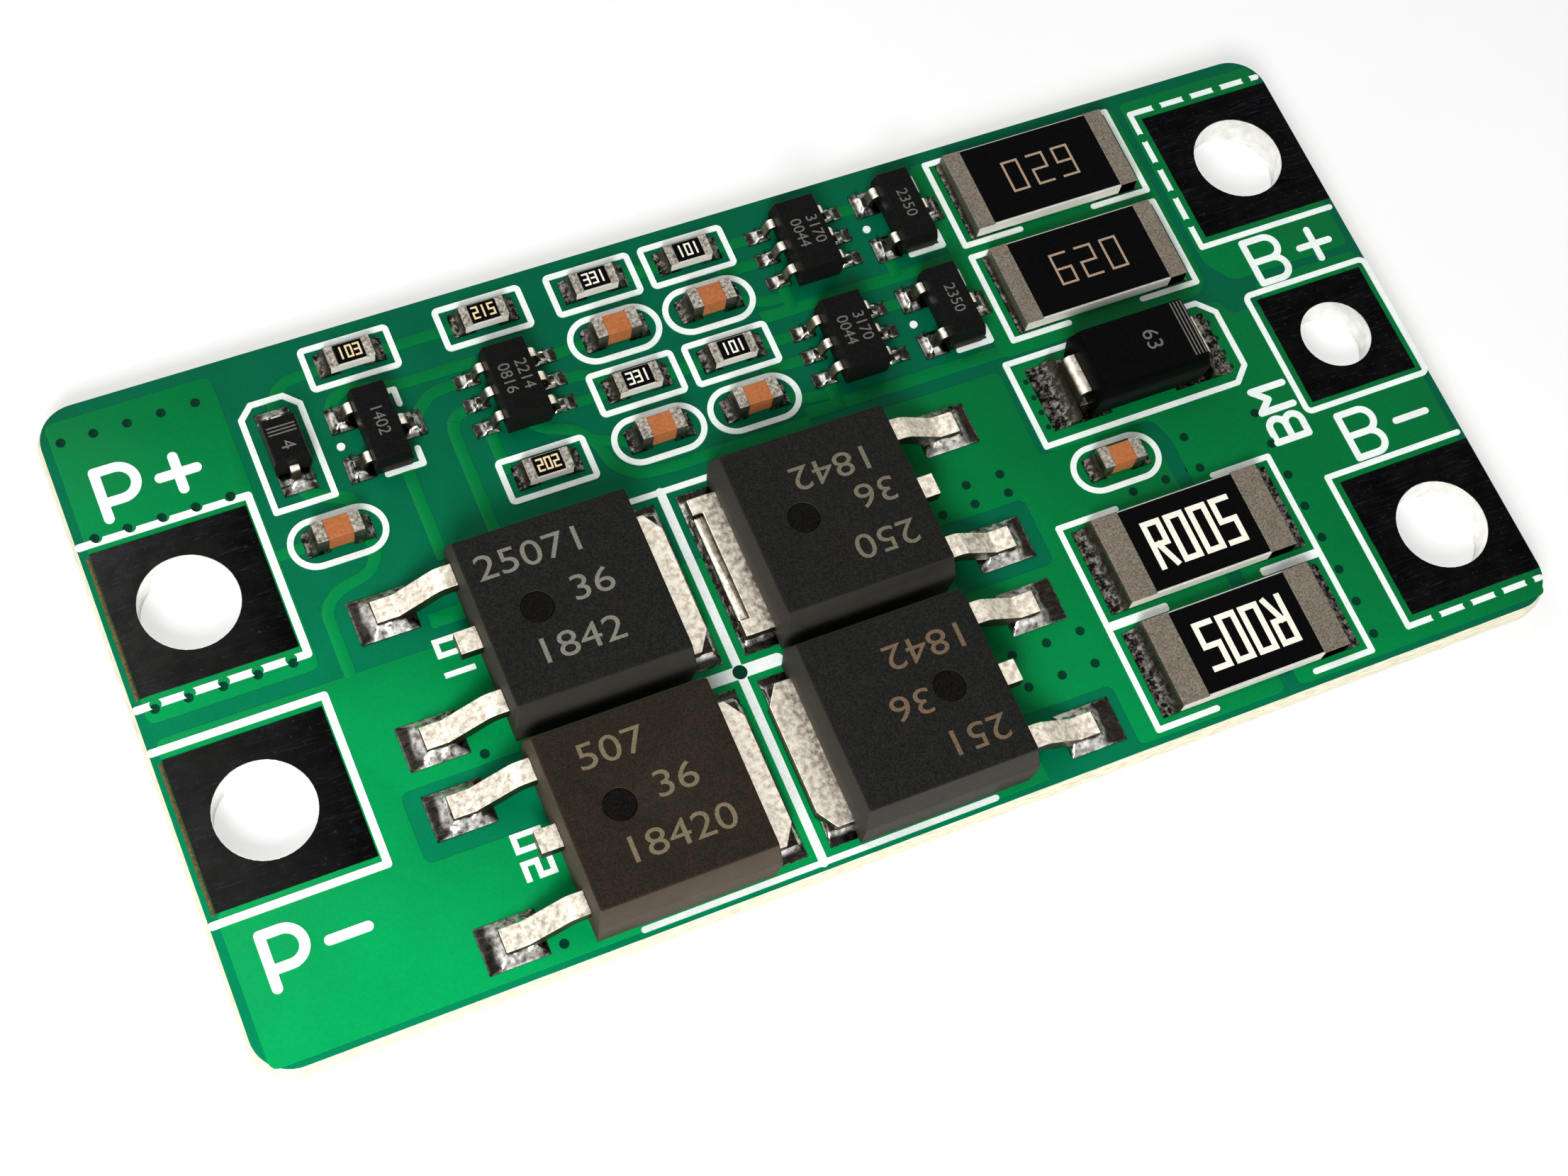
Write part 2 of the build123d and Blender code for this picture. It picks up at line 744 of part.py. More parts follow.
# Places of the tented vias, in rows that follow the pads and parts beside them
load_vias_x = [left_margin + load_via_inset + step * load_via_pitch for step in range(5)]
load_plus_y = half_width + load_shift
load_frame_top = load_plus_y + load_pad_width / 2 + frame_gap
load_frame_bottom = load_plus_y - load_pad_width / 2 - frame_gap
battery_frame_top = battery_plus_y + battery_pad_width / 2 + frame_gap
battery_frame_bottom = battery_minus_y - battery_pad_width / 2 - frame_gap
battery_frame_x = battery_pad_x - battery_pad_length / 2 - frame_gap
sense_side = sense_x + sense_half + 2 * frame_gap
vias = [(x, y) for x in load_vias_x for y in (load_frame_top + load_via_rise, load_frame_bottom)]
vias += [(x, board_width - via_pitch) for x in load_vias_x]
vias += [(battery_hole_x + (step - 1.5) * via_pitch, battery_frame_top) for step in range(4)]
vias += [(battery_hole_x + (step - 1.5) * via_pitch, battery_frame_bottom) for step in range(4)]
vias += [(battery_frame_x, battery_plus_y + (step - 1.5) * via_pitch) for step in range(4)]
vias += [(sense_side, sense_low + (step - 1) * via_pitch) for step in range(8)]
vias += [(sense_side - step * via_pitch - 1.5 * via_pitch, sense_low + 5 * via_pitch) for step in range(3)]
for x, y, turn in mosfet_places[1::2]:
    reach = mosfet_case_length / 2 + mosfet_stub_reach
    for step in range(3):
        for row in mosfet_via_rows:
            vias.append((x + reach + mosfet_via_start + step * via_pitch, y + row))
for x, y, turn in mosfet_places[::2]:
    reach = mosfet_case_length / 2 + mosfet_side_reach / 2
    vias.append((x - reach + mosfet_toe, y - mosfet_lead_pitch / 2 - mosfet_land_width / 2 - mosfet_via_gap))
small_vias = []
for side in (-1, 1):
    for step in range(4):
        y = diode_y + (step - 1.5) * small_via_pitch
        small_vias.append((diode_x + side * (diode_half + via_diameter / 2), y))


def board():
    """Bare board with scored edges, terminal holes and the dimples of the tented vias."""
    bands = (
        (0.0, 0.0),
        (score_height, score_reach),
        (board_thickness - score_height, score_reach),
        (board_thickness, 0.0),
    )
    sections = []
    for z, reach in bands:
        outline = RectangleRounded(board_length + 2 * reach, board_width + 2 * reach, corner_radius + reach)
        sections.append(Plane.XY.offset(z) * outline)
    body = loft(sections, ruled=True)
    cuts = []
    for centre, size, (hole_x, diameter) in terminals.values():
        middle = place(hole_x, centre[1], board_thickness / 2)
        cuts.append(middle * Cylinder(diameter / 2, 2 * board_thickness))
    for spots, diameter in ((vias, via_diameter), (small_vias, small_via_diameter)):
        for x, y in spots:
            dimple = Cylinder(diameter / 2, 2 * via_depth)
            cuts.append(place(x, y, board_thickness) * dimple)
    return body - cuts


def load_pad_print():
    """Frames of the load pads, open to the board's end, with their letters and signs."""
    faces = []
    start = print_edge_gap + (load_frame_stroke - left_margin) / 2
    side = load_pad_end + frame_side_gap
    for name, plus in (("load_plus", True), ("load_minus", False)):
        centre, size, hole = terminals[name]
        top = centre[1] + size[1] / 2 + frame_gap
        bottom = centre[1] - size[1] / 2 - frame_gap
        line = Polyline((start, top), (side, top), (side, bottom), (start, bottom))
        faces.append(stroke(line, load_frame_stroke))
        foot = top + 2 * frame_gap if plus else bottom - letter_height - load_letter_drop
        left = left_margin + load_letter_inset
        faces += [Pos(left, foot) * face for face in letter_p(letter_height, letter_width, letter_stroke)]
        sign_x = left + letter_width + letter_gap / 2 + letter_width / 2 + letter_stroke
        sign_y = foot + letter_height / 2
        faces += [Pos(sign_x, sign_y) * face for face in sign(plus, letter_width, letter_stroke)]
    return faces


def battery_pad_print():
    """Frames of the battery pads, with their letters and signs."""
    faces = []
    end = board_length - print_edge_gap - frame_stroke / 2
    for name, plus in (("battery_plus", True), ("battery_minus", False)):
        centre, size, hole = terminals[name]
        top = centre[1] + size[1] / 2 + frame_gap
        bottom = centre[1] - size[1] / 2 - frame_gap
        left = centre[0] - size[0] / 2 - frame_gap
        faces.append(stroke(Polyline((end, top), (left, top), (left, bottom), (end, bottom)), frame_stroke))
    frame = middle_pad_length + 2 * frame_gap
    faces.append(Pos(battery_hole_x, half_width) * ring(frame, frame, frame_stroke, frame_stroke))
    pen = small_letter_stroke
    left = board_length - battery_letter_inset
    plus_foot = half_width + frame / 2 + battery_plus_letter_gap
    minus_foot = half_width - frame / 2 - letter_height - battery_minus_letter_gap
    for foot, plus in ((plus_foot, True), (minus_foot, False)):
        faces += [Pos(left, foot) * face for face in letter_b(letter_height, letter_width, pen)]
        sign_x = left + letter_width + letter_gap + letter_width / 2
        faces += [Pos(sign_x, foot + letter_height / 2) * face for face in sign(plus, letter_width, pen)]
    baseline = battery_hole_x - frame / 2 - middle_letter_gap
    low = half_width - middle_letter_drop
    high = low + small_letter_width + middle_letter_gap
    turned = Rot(0, 0, 90)
    letters = ((low, letter_b), (high, letter_m))
    for foot, letter in letters:
        for face in letter(small_letter_height, small_letter_width, pen):
            faces.append(Pos(baseline, foot) * turned * face)
    return faces


def bracket_pair(centre, half_x, half_y, tail):
    """Two facing brackets around a power resistor."""
    faces = []
    for side in (-1, 1):
        x = side * half_x
        near = side * (half_x - tail)
        line = Polyline((near, half_y), (x, half_y), (x, -half_y), (near, -half_y))
        faces.append(Pos(*centre) * stroke(line, frame_stroke))
    return faces


def cut_corner_frame(half_x, half_y, corner, ends):
    """Closed frame about the origin with two corners cut at one end: right or upper."""
    if ends == "right":
        points = [
            (-half_x, -half_y), (half_x - corner, -half_y), (half_x, -half_y + corner),
            (half_x, half_y - corner), (half_x - corner, half_y), (-half_x, half_y),
        ]
    else:
        points = [
            (-half_x, -half_y), (half_x, -half_y), (half_x, half_y - corner),
            (half_x - corner, half_y), (-half_x + corner, half_y), (-half_x, half_y - corner),
        ]
    face = make_face(Polyline(*points, close=True))
    return offset(face, frame_stroke / 2) - offset(face, -frame_stroke / 2)


def part_frames():
    """Frames around the parts: rings, capsules, brackets and cut-corner boxes."""
    faces = []
    for x, y, text in chip_resistor_places.values():
        frame = ring(chip_frame_length, chip_frame_width, frame_stroke, chip_frame_radius)
        faces.append(Pos(x, y) * frame)
    outer = SlotOverall(capsule_length + frame_stroke, capsule_width + frame_stroke)
    inner = SlotOverall(capsule_length - frame_stroke, capsule_width - frame_stroke)
    faces += [Pos(x, y) * (outer - inner) for x, y in chip_capacitor_places.values()]
    half_y = power_resistor_width / 2 + sense_bracket_reach
    for y in (sense_high, sense_low):
        faces += bracket_pair((sense_x, y), sense_half + frame_gap, half_y, bracket_tail)
    half_y = power_resistor_width / 2 + bleed_bracket_reach
    for y in (bleed_high, bleed_low):
        faces += bracket_pair((bleed_x, y), bleed_half + frame_gap, half_y, bracket_tail)
    half_x = diode_half + diode_frame_end_gap
    half_y = diode_land_width / 2 + diode_frame_side_gap
    frame = cut_corner_frame(half_x, half_y, diode_frame_corner, "right")
    faces.append(Pos(diode_x, diode_y) * frame)
    half_x = small_diode_land_width / 2 + diode_frame_side_gap
    half_y = small_diode_case_length / 2 + small_diode_lead_reach + small_diode_frame_end_gap
    frame = cut_corner_frame(half_x, half_y, small_diode_frame_corner, "upper")
    faces.append(Pos(small_diode_x, small_diode_y) * frame)
    side = transistor_case_width / 2 + frame_gap
    end = transistor_case_length / 2
    tick = transistor_land_width / 2 + frame_gap + frame_stroke / 3
    for x, y in transistor_places:
        high = Polyline((side - transistor_tick, end), (side, end), (side, tick))
        low = Polyline((side - transistor_long_tick, -end), (side, -end), (side, -tick))
        faces += [Pos(x, y) * stroke(line, frame_stroke) for line in (high, low)]
        radius = transistor_dot_diameter / 2
        faces.append(Pos(x - transistor_half + radius, y) * Circle(radius))
    return faces


def mosfet_print():
    """Lines between the power transistors and the small number beside each left one."""
    middle = (mosfet_a_x + mosfet_b_x) / 2
    top = mosfet_row_2 + mosfet_case_width / 2 + mosfet_bevel / 3
    low = mosfet_row_1 - mosfet_case_width / 2 - mosfet_draft
    cross = (mosfet_row_1 + mosfet_row_2) / 2
    arm = middle_print_arm
    faces = [
        bar((middle, low), (middle, top), middle_stroke),
        bar((middle - arm, top), (middle + middle_print_long_arm, top), frame_stroke),
        bar((middle - arm, cross), (middle + arm, cross), cross_stroke),
        bar((middle - mosfet_case_length, low), (middle + mosfet_case_length, low), border_stroke),
    ]
    x = mosfet_a_x - mosfet_case_length / 2 - mosfet_stub_reach
    for index, row in enumerate((mosfet_row_2, mosfet_row_1)):
        for character, rise in ((str(index + 1), 0.0), ("0", mark_pitch)):
            mark = digit(character, mark_width, mark_height, mark_stroke)
            faces.append(Pos(x, row - mark_drop + rise) * Rot(0, 0, 90) * mark)
    return faces


def silkscreen():
    """All white print on the board, open where it crosses a via."""
    faces = load_pad_print() + battery_pad_print() + part_frames() + mosfet_print()
    print_faces = Sketch() + [Pos(-half_length, -half_width) * face for face in faces]
    holes = [Pos(x - half_length, y - half_width) * Circle(via_diameter / 2 + via_print_gap) for x, y in vias]
    print_faces -= holes
    return (Pos(0, 0, board_thickness) * extrude(print_faces, print_thickness)).solids()


# Write the nodes
save("circuit_board", [board()])
for name, values in terminals.items():
    save(f"{name}_pad", [terminal(*values)])

lands = []
for number, (x, y, turn) in enumerate(mosfet_places, start=1):
    case, metal = mosfet(notched=number == 2)
    spot = place(x, y, seat, turn)
    save(f"mosfet_{number}_case", [spot * case])
    save(f"mosfet_{number}_leadframe", [spot * piece for piece in metal])
    land_x = mosfet_a_x if turn == 0 else mosfet_b_x
    lands += [place(land_x, y, 0, turn) * land for land in mosfet_lands()]

codes = []
resistor_kinds = {
    "sense": (sense_x, (sense_high, sense_low), sense_cap_length, sense_half, "R005", sense_code),
    "bleed": (bleed_x, (bleed_high, bleed_low), bleed_cap_length, bleed_half, "620", bleed_code),
}
for kind, (x, rows, cap_length, half, text, pens) in resistor_kinds.items():
    body, glaze, ends = power_resistor(cap_length)
    for number, y in enumerate(rows, start=1):
        spot = place(x, y, seat)
        save(f"{kind}_resistor_{number}_body", [spot * body])
        save(f"{kind}_resistor_{number}_glaze", [spot * glaze])
        save(f"{kind}_resistor_{number}_ends", [spot * end for end in ends])
        turn = 180 if (kind == "bleed") == (number == 1) else 0
        codes += [place(x, y, seat + power_resistor_height, turn) * face for face in code(text, *pens)]
        land = soldered_land(
            power_resistor_length / 2 - power_land_inside, half, power_resistor_width,
            face=power_resistor_length / 2, rise=power_fillet_height,
        )
        lands += [place(x, y) * land, place(x, y, 0, 180) * land]

for number, (x, y) in enumerate(controller_places, start=1):
    case, leads = small_package(
        controller_case_length, controller_case_width, controller_case_height,
        3, 3, controller_lead_pitch, controller_lead_width, controller_lead_reach,
    )
    save(f"controller_{number}_case", [place(x, y, seat) * case])
    save(f"controller_{number}_leads", [place(x, y, seat) * lead for lead in leads])
    reach = controller_case_width / 2 + controller_lead_reach
    lands += [place(x, y) * land for land in toe_lands(
        reach, controller_land_length, controller_land_width, controller_land_toe, 3, 3, controller_lead_pitch
    )]

for number, (x, y) in enumerate(transistor_places, start=1):
    case, leads = small_package(
        transistor_case_length, transistor_case_width, transistor_case_height,
        2, 1, transistor_lead_pitch, transistor_lead_width, transistor_lead_reach,
    )
    save(f"transistor_{number}_case", [place(x, y, seat) * case])
    save(f"transistor_{number}_leads", [place(x, y, seat) * lead for lead in leads])
    reach = transistor_case_width / 2 + transistor_lead_reach
    lands += [place(x, y) * land for land in toe_lands(
        reach, transistor_land_length, transistor_land_width, transistor_land_toe, 2, 1, transistor_lead_pitch
    )]

case, leads = power_diode()
save("power_diode_case", [place(diode_x, diode_y, seat) * case])
save("power_diode_leads", [place(diode_x, diode_y, seat) * lead for lead in leads])
reach = diode_case_length / 2 + diode_lead_reach
land = soldered_land(
    reach - diode_land_inside, diode_half, diode_land_width, face=reach, rise=diode_fillet_height
)
lands += [place(diode_x, diode_y) * land, place(diode_x, diode_y, 0, 180) * land]

case, leads = small_diode()
save("small_diode_case", [place(small_diode_x, small_diode_y, seat) * case])
save("small_diode_leads", [place(small_diode_x, small_diode_y, seat) * lead for lead in leads])
reach = small_diode_case_length / 2 + small_diode_lead_reach
outer = reach + small_diode_land_toe
land = soldered_land(
    outer - small_diode_land_length, outer, small_diode_land_width, face=reach, rise=small_metal
)
lands += [place(small_diode_x, small_diode_y, 0, turn) * land for turn in (90, 270)]

chip_ends = []
glazes = []
for name, (x, y, text) in chip_resistor_places.items():
    body, ends = chip(chip_resistor_height, chip_resistor_cap_length, False)
    spot = place(x, y, seat)
    save(name, [spot * body])
    chip_ends += [spot * end for end in ends]
    glaze_top = chip_resistor_height - chip_cap_metal
    glazes.append(spot * block(
        chip_length - 2 * (chip_resistor_cap_length + chip_glaze_end_gap),
        chip_width - 2 * chip_glaze_side_margin, glaze_thickness, z=glaze_top,
    ))
    turn = 180 if text == "512" else 0
    top = seat + glaze_top + glaze_thickness
    codes += [place(x, y, top, turn) * face for face in code(text, *chip_code)]
save("chip_resistor_glazes", glazes)

for name, (x, y) in chip_capacitor_places.items():
    body, ends = chip(chip_capacitor_height, chip_capacitor_cap_length, True)
    spot = place(x, y, seat)
    save(name, [spot * body])
    chip_ends += [spot * end for end in ends]
save("chip_end_caps", chip_ends)

chip_kinds = (
    (chip_resistor_places, chip_resistor_fillet_height),
    (chip_capacitor_places, chip_capacitor_fillet_height),
)
for places, rise in chip_kinds:
    for values in places.values():
        land = soldered_land(chip_land_inside, chip_half, chip_land_width, face=chip_length / 2, rise=rise)
        lands += [place(*values[:2], 0, turn) * land for turn in (0, 180)]
save("soldered_lands", lands)
save("component_codes", [extrude(face, code_thickness) for face in codes])
save("silkscreen", silkscreen())
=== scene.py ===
"""Looks of the battery management board: masked copper, print, solder, moulded cases, markings."""
import json

import bmesh
import bpy
import numpy as np
from mathutils import Matrix, Vector


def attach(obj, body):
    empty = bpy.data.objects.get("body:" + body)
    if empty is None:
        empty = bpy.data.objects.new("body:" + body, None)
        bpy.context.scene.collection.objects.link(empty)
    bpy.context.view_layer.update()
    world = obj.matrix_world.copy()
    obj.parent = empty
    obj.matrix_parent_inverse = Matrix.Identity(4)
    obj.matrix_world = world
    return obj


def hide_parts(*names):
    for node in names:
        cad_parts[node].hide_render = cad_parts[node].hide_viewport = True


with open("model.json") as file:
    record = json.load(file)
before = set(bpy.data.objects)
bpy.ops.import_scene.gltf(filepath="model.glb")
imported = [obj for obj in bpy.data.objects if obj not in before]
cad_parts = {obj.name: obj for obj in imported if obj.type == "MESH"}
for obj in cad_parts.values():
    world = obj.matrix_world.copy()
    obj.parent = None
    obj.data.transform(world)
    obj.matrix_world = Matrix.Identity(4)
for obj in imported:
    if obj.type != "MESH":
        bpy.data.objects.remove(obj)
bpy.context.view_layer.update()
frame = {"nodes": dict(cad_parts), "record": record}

MM = 0.001

# Heights above the board's underside, in millimetres
BOARD_TOP = 1.2
SEAT = 1.26
POWER_TRANSISTOR_TOP = SEAT + 2.3
POWER_DIODE_TOP = SEAT + 2.1
CONTROLLER_TOP = SEAT + 1.175
SMALL_TRANSISTOR_TOP = SEAT + 1.075
SMALL_DIODE_TOP = SEAT + 1.025

# The copper's plates: how far they stand out of the laminate, and how far they reach down into it
COPPER_RISE = 0.022
COPPER_ROOT = 0.05

# Centres of the small parts on the board, in millimetres
controller_centres = ((-7.84, 7.365), (3.68, 9.395), (3.68, 5.335))
small_transistor_centres = ((-12.58, 7.365), (7.5, 9.395), (7.5, 5.335))
small_diode_centre = (-15.675, 7.785)


# Colours and finishes

def paint(red, green, blue):
    """Colour as the shader wants it, from the 0 to 255 values of a colour chart."""
    share = np.array([red, green, blue]) / 255
    linear = np.where(share <= 0.04045, share / 12.92, ((share + 0.055) / 1.055) ** 2.4)
    return (*linear.tolist(), 1.0)


def grey(level):
    """A neutral colour of a level from 0, black, to 1, white."""
    return (level, level, level, 1.0)


BLACK = (0, 0, 0, 1)
WHITE = (1, 1, 1, 1)


def blank_finish(name):
    """A new finish: its nodes, its links, its shader, and the place on the board in millimetres."""
    material = bpy.data.materials.new(name)
    material.use_nodes = True
    nodes, links = material.node_tree.nodes, material.node_tree.links
    place = nodes.new("ShaderNodeTexCoord")
    in_mm = nodes.new("ShaderNodeMapping")
    in_mm.inputs["Scale"].default_value = (1 / MM,) * 3
    links.new(place.outputs["Object"], in_mm.inputs["Vector"])
    return material, nodes, links, nodes["Principled BSDF"], in_mm.outputs["Vector"]


def turned(nodes, links, place, stretch, angle):
    """The place stretched along each axis and turned about Z, for grain that runs one way."""
    node = nodes.new("ShaderNodeMapping")
    node.inputs["Scale"].default_value = stretch
    node.inputs["Rotation"].default_value = (0, 0, angle)
    links.new(place, node.inputs["Vector"])
    return node.outputs["Vector"]


def grain(nodes, links, place, size, detail, rough=0.55):
    """Cloudy noise whose blotches are about size millimetres across."""
    node = nodes.new("ShaderNodeTexNoise")
    node.inputs["Scale"].default_value = 1 / size
    node.inputs["Detail"].default_value = detail
    node.inputs["Roughness"].default_value = rough
    links.new(place, node.inputs["Vector"])
    return node.outputs["Fac"]


def graded(nodes, links, value, stops):
    """Colours laid out along a value: pairs of value and colour."""
    node = nodes.new("ShaderNodeValToRGB")
    ramp = node.color_ramp
    while len(ramp.elements) < len(stops):
        ramp.elements.new(0.5)
    for element, (at, colour) in zip(ramp.elements, stops):
        element.position = at
        element.color = colour
    links.new(value, node.inputs["Fac"])
    return node.outputs["Color"]


def fitted(nodes, links, value, low, high, start=0.35, end=0.65):
    """A value between start and end stretched to run from low to high."""
    node = nodes.new("ShaderNodeMapRange")
    for slot, number in zip(("From Min", "From Max", "To Min", "To Max"), (start, end, low, high)):
        node.inputs[slot].default_value = number
    links.new(value, node.inputs["Value"])
    return node.outputs["Result"]


def blended(nodes, links, share, first, second, way="MIX"):
    """Two colours mixed by a share; each is a colour or a node's output."""
    node = nodes.new("ShaderNodeMix")
    node.data_type = "RGBA"
    node.blend_type = way
    for slot, value in ((0, share), (6, first), (7, second)):
        if isinstance(value, bpy.types.NodeSocket):
            links.new(value, node.inputs[slot])
        else:
            node.inputs[slot].default_value = value
    return node.outputs[2]


def dented(nodes, links, shader, height, depth):
    """Dents or grain of a depth in millimetres, pressed into the shader's surface."""
    node = nodes.new("ShaderNodeBump")
    node.inputs["Strength"].default_value = 1.0
    node.inputs["Distance"].default_value = depth * MM
    links.new(height, node.inputs["Height"])
    links.new(node.outputs["Normal"], shader.inputs["Normal"])


def shaded(nodes, links, colour, value, low, high):
    """A colour made darker by grain: low and high are pairs of the grain's value and a grey level."""
    shade = graded(nodes, links, value, ((low[0], grey(low[1])), (high[0], grey(high[1]))))
    return blended(nodes, links, 1.0, colour, shade, "MULTIPLY")


def part_of(nodes, links, vector, axis):
    """One of the three parts of a vector, named by its axis."""
    parts = nodes.new("ShaderNodeSeparateXYZ")
    links.new(vector, parts.inputs["Vector"])
    return parts.outputs[axis]


def facing_up(nodes, links):
    """How far the surface faces up: 1 on level faces and 0 on upright ones."""
    return part_of(nodes, links, nodes.new("ShaderNodeTexCoord").outputs["Normal"], "Z")


def mask_finish(name, near, far, mottle, shine=0.3):
    """Green solder mask, mottled, with a soft gloss.

    Its colour runs from near, at the load end's near corner, to far, along a slanting line of
    places in millimetres. This run is painted light falloff: lighter nearer the lamps, darker away from
    them."""
    material, nodes, links, shader, place = blank_finish(name)
    # Painted light falloff: the colour runs from the lit near colour to the shaded far colour along this
    # line
    across = nodes.new("ShaderNodeVectorMath")
    across.operation = "DOT_PRODUCT"
    across.inputs[1].default_value = (0.5, 0.86, 0.0)
    links.new(place, across.inputs[0])
    along = fitted(nodes, links, across.outputs["Value"], 0.0, 1.0, start=-17, end=2)
    colour = blended(nodes, links, along, near, far)
    cloud = grain(nodes, links, place, size=3.0, detail=5.0)
    colour = shaded(nodes, links, colour, cloud, (0.3, 1 - mottle), (0.7, 1 + 0.2 * mottle))
    fine = grain(nodes, links, place, size=0.12, detail=3.0)
    colour = shaded(nodes, links, colour, fine, (0.3, 0.9), (0.7, 1.0))
    links.new(colour, shader.inputs["Base Color"])
    links.new(fitted(nodes, links, cloud, shine - 0.05, shine + 0.1), shader.inputs["Roughness"])
    shader.inputs["Specular IOR Level"].default_value = 0.05
    dented(nodes, links, shader, fine, depth=0.003)
    return material, nodes, links, shader, place, colour


def board_finish():
    """Mask on the upper and lower faces, cream laminate with fibre streaks on the edges."""
    # The lighter near green and darker far green are painted light falloff across the board
    material, nodes, links, shader, place, mask = mask_finish(
        "mask_over_laminate", paint(0, 132, 86), paint(0, 93, 63), mottle=0.14
    )
    fibre = turned(nodes, links, place, stretch=(1.6, 1.6, 14.0), angle=0.0)
    streak = grain(nodes, links, fibre, size=1.0, detail=5.0, rough=0.7)
    cream = graded(nodes, links, streak, (
        (0.3, paint(176, 168, 138)), (0.5, paint(222, 216, 190)), (0.7, paint(236, 232, 214))
    ))
    level = graded(nodes, links, facing_up(nodes, links), ((0.86, BLACK), (0.94, WHITE)))
    links.new(blended(nodes, links, level, cream, mask), shader.inputs["Base Color"])
    return material


def code_finish():
    """Number print: cream, yellower towards the load end, thin and tan on the bleed resistors.

    The bleed resistors lie past 9 mm along the board and past 3 mm across it."""
    material, nodes, links, shader, place = blank_finish("code_print")
    along, across = (part_of(nodes, links, place, axis) for axis in "XY")
    bleed = nodes.new("ShaderNodeMath")
    bleed.operation = "MULTIPLY"
    links.new(fitted(nodes, links, along, 0.0, 1.0, start=9.0, end=9.2), bleed.inputs[0])
    links.new(fitted(nodes, links, across, 0.0, 1.0, start=3.0, end=3.2), bleed.inputs[1])
    load_end = fitted(nodes, links, along, 1.0, 0.0, start=-6.2, end=-6.0)
    colour = blended(nodes, links, load_end, paint(246, 242, 226), paint(236, 214, 166))
    colour = blended(nodes, links, bleed.outputs[0], colour, paint(168, 144, 122))
    fine = grain(nodes, links, place, size=0.06, detail=3.0)
    links.new(shaded(nodes, links, colour, fine, (0.3, 0.82), (0.6, 1.0)), shader.inputs["Base Color"])
    shader.inputs["Roughness"].default_value = 0.6
    shader.inputs["Specular IOR Level"].default_value = 0.2
    return material


def plain_finish(name, dark, light, size, rough, depth, metallic=0.0, shine=0.5, side=None,
                 specks=(0.32, 0.68)):
    """A finish whose colour runs from dark to light over grain of a size, with roughness to match.

    depth is that of the grain's dents, in millimetres. side is the colour that its upright faces
    lean to: lighter on the moulded cases, partly for their duller moulded sides and partly as painted
    light on the fronts that the lamps catch; lighter on the lands as a painted highlight; darker on
    the leads. specks are the grain values between which dark turns to light."""
    material, nodes, links, shader, place = blank_finish(name)
    fine = grain(nodes, links, place, size, detail=5.0, rough=0.65)
    broad = grain(nodes, links, place, 14 * size, detail=3.0)
    worn = ((0.3, 0.88), (0.7, 1.0))
    colour = graded(nodes, links, fine, ((specks[0], dark), (specks[1], light)))
    colour = shaded(nodes, links, colour, broad, *worn)
    # Upright faces lean to side: on the cases and lands this is partly painted light
    if side:
        upright = graded(nodes, links, facing_up(nodes, links), ((0.3, WHITE), (0.9, BLACK)))
        colour = blended(nodes, links, upright, colour, shaded(nodes, links, side, broad, *worn))
    links.new(colour, shader.inputs["Base Color"])
    links.new(fitted(nodes, links, fine, *rough), shader.inputs["Roughness"])
    shader.inputs["Metallic"].default_value = metallic
    shader.inputs["Specular IOR Level"].default_value = shine
    dented(nodes, links, shader, fine, depth)
    return material


def tinned_finish(name, level_reflection_colours, slope_highlight_colours, blotch, speck, haze=BLACK):
    """Reflowed tin with fine pale specks and painted reflection: level faces are painted dark, as a
    mirror of dark surroundings, and slopes are painted bright, as highlights.

    haze is a pale film that grows over the last 5 mm before the load end."""
    material, nodes, links, shader, place = blank_finish(name)
    cloud = grain(nodes, links, place, blotch, detail=5.0, rough=0.6)
    # Painted reflection: level faces take the dark level colours and slopes the bright highlight colours
    flat = graded(nodes, links, cloud, ((0.3, level_reflection_colours[0]), (0.7, level_reflection_colours[1])))
    bright = graded(nodes, links, cloud, ((0.3, slope_highlight_colours[0]), (0.6, slope_highlight_colours[1])))
    level = graded(nodes, links, facing_up(nodes, links), ((0.72, BLACK), (0.97, WHITE)))
    colour = blended(nodes, links, level, bright, flat)
    fine = grain(nodes, links, place, size=0.13, detail=3.0, rough=0.7)
    dust = graded(nodes, links, fine, ((0.64, BLACK), (0.8, speck)))
    along_scratch = turned(nodes, links, place, stretch=(0.3, 5.0, 1.0), angle=0.5)
    line = grain(nodes, links, along_scratch, size=1.2, detail=2.0)
    faint = tuple(0.3 * part for part in speck[:3]) + (1.0,)
    scratch = graded(nodes, links, line, ((0.49, BLACK), (0.5, faint), (0.51, BLACK)))
    load_end = fitted(nodes, links, part_of(nodes, links, place, "X"), 0, 1, start=-17.5, end=-22.5)
    film = graded(nodes, links, load_end, ((0.0, BLACK), (1.0, haze)))
    for mark in (dust, scratch, film):
        colour = blended(nodes, links, 1.0, colour, mark, "ADD")
    links.new(colour, shader.inputs["Base Color"])
    links.new(fitted(nodes, links, cloud, 0.1, 0.3), shader.inputs["Roughness"])
    shader.inputs["Metallic"].default_value = 1.0
    dented(nodes, links, shader, cloud, depth=0.012)
    return material


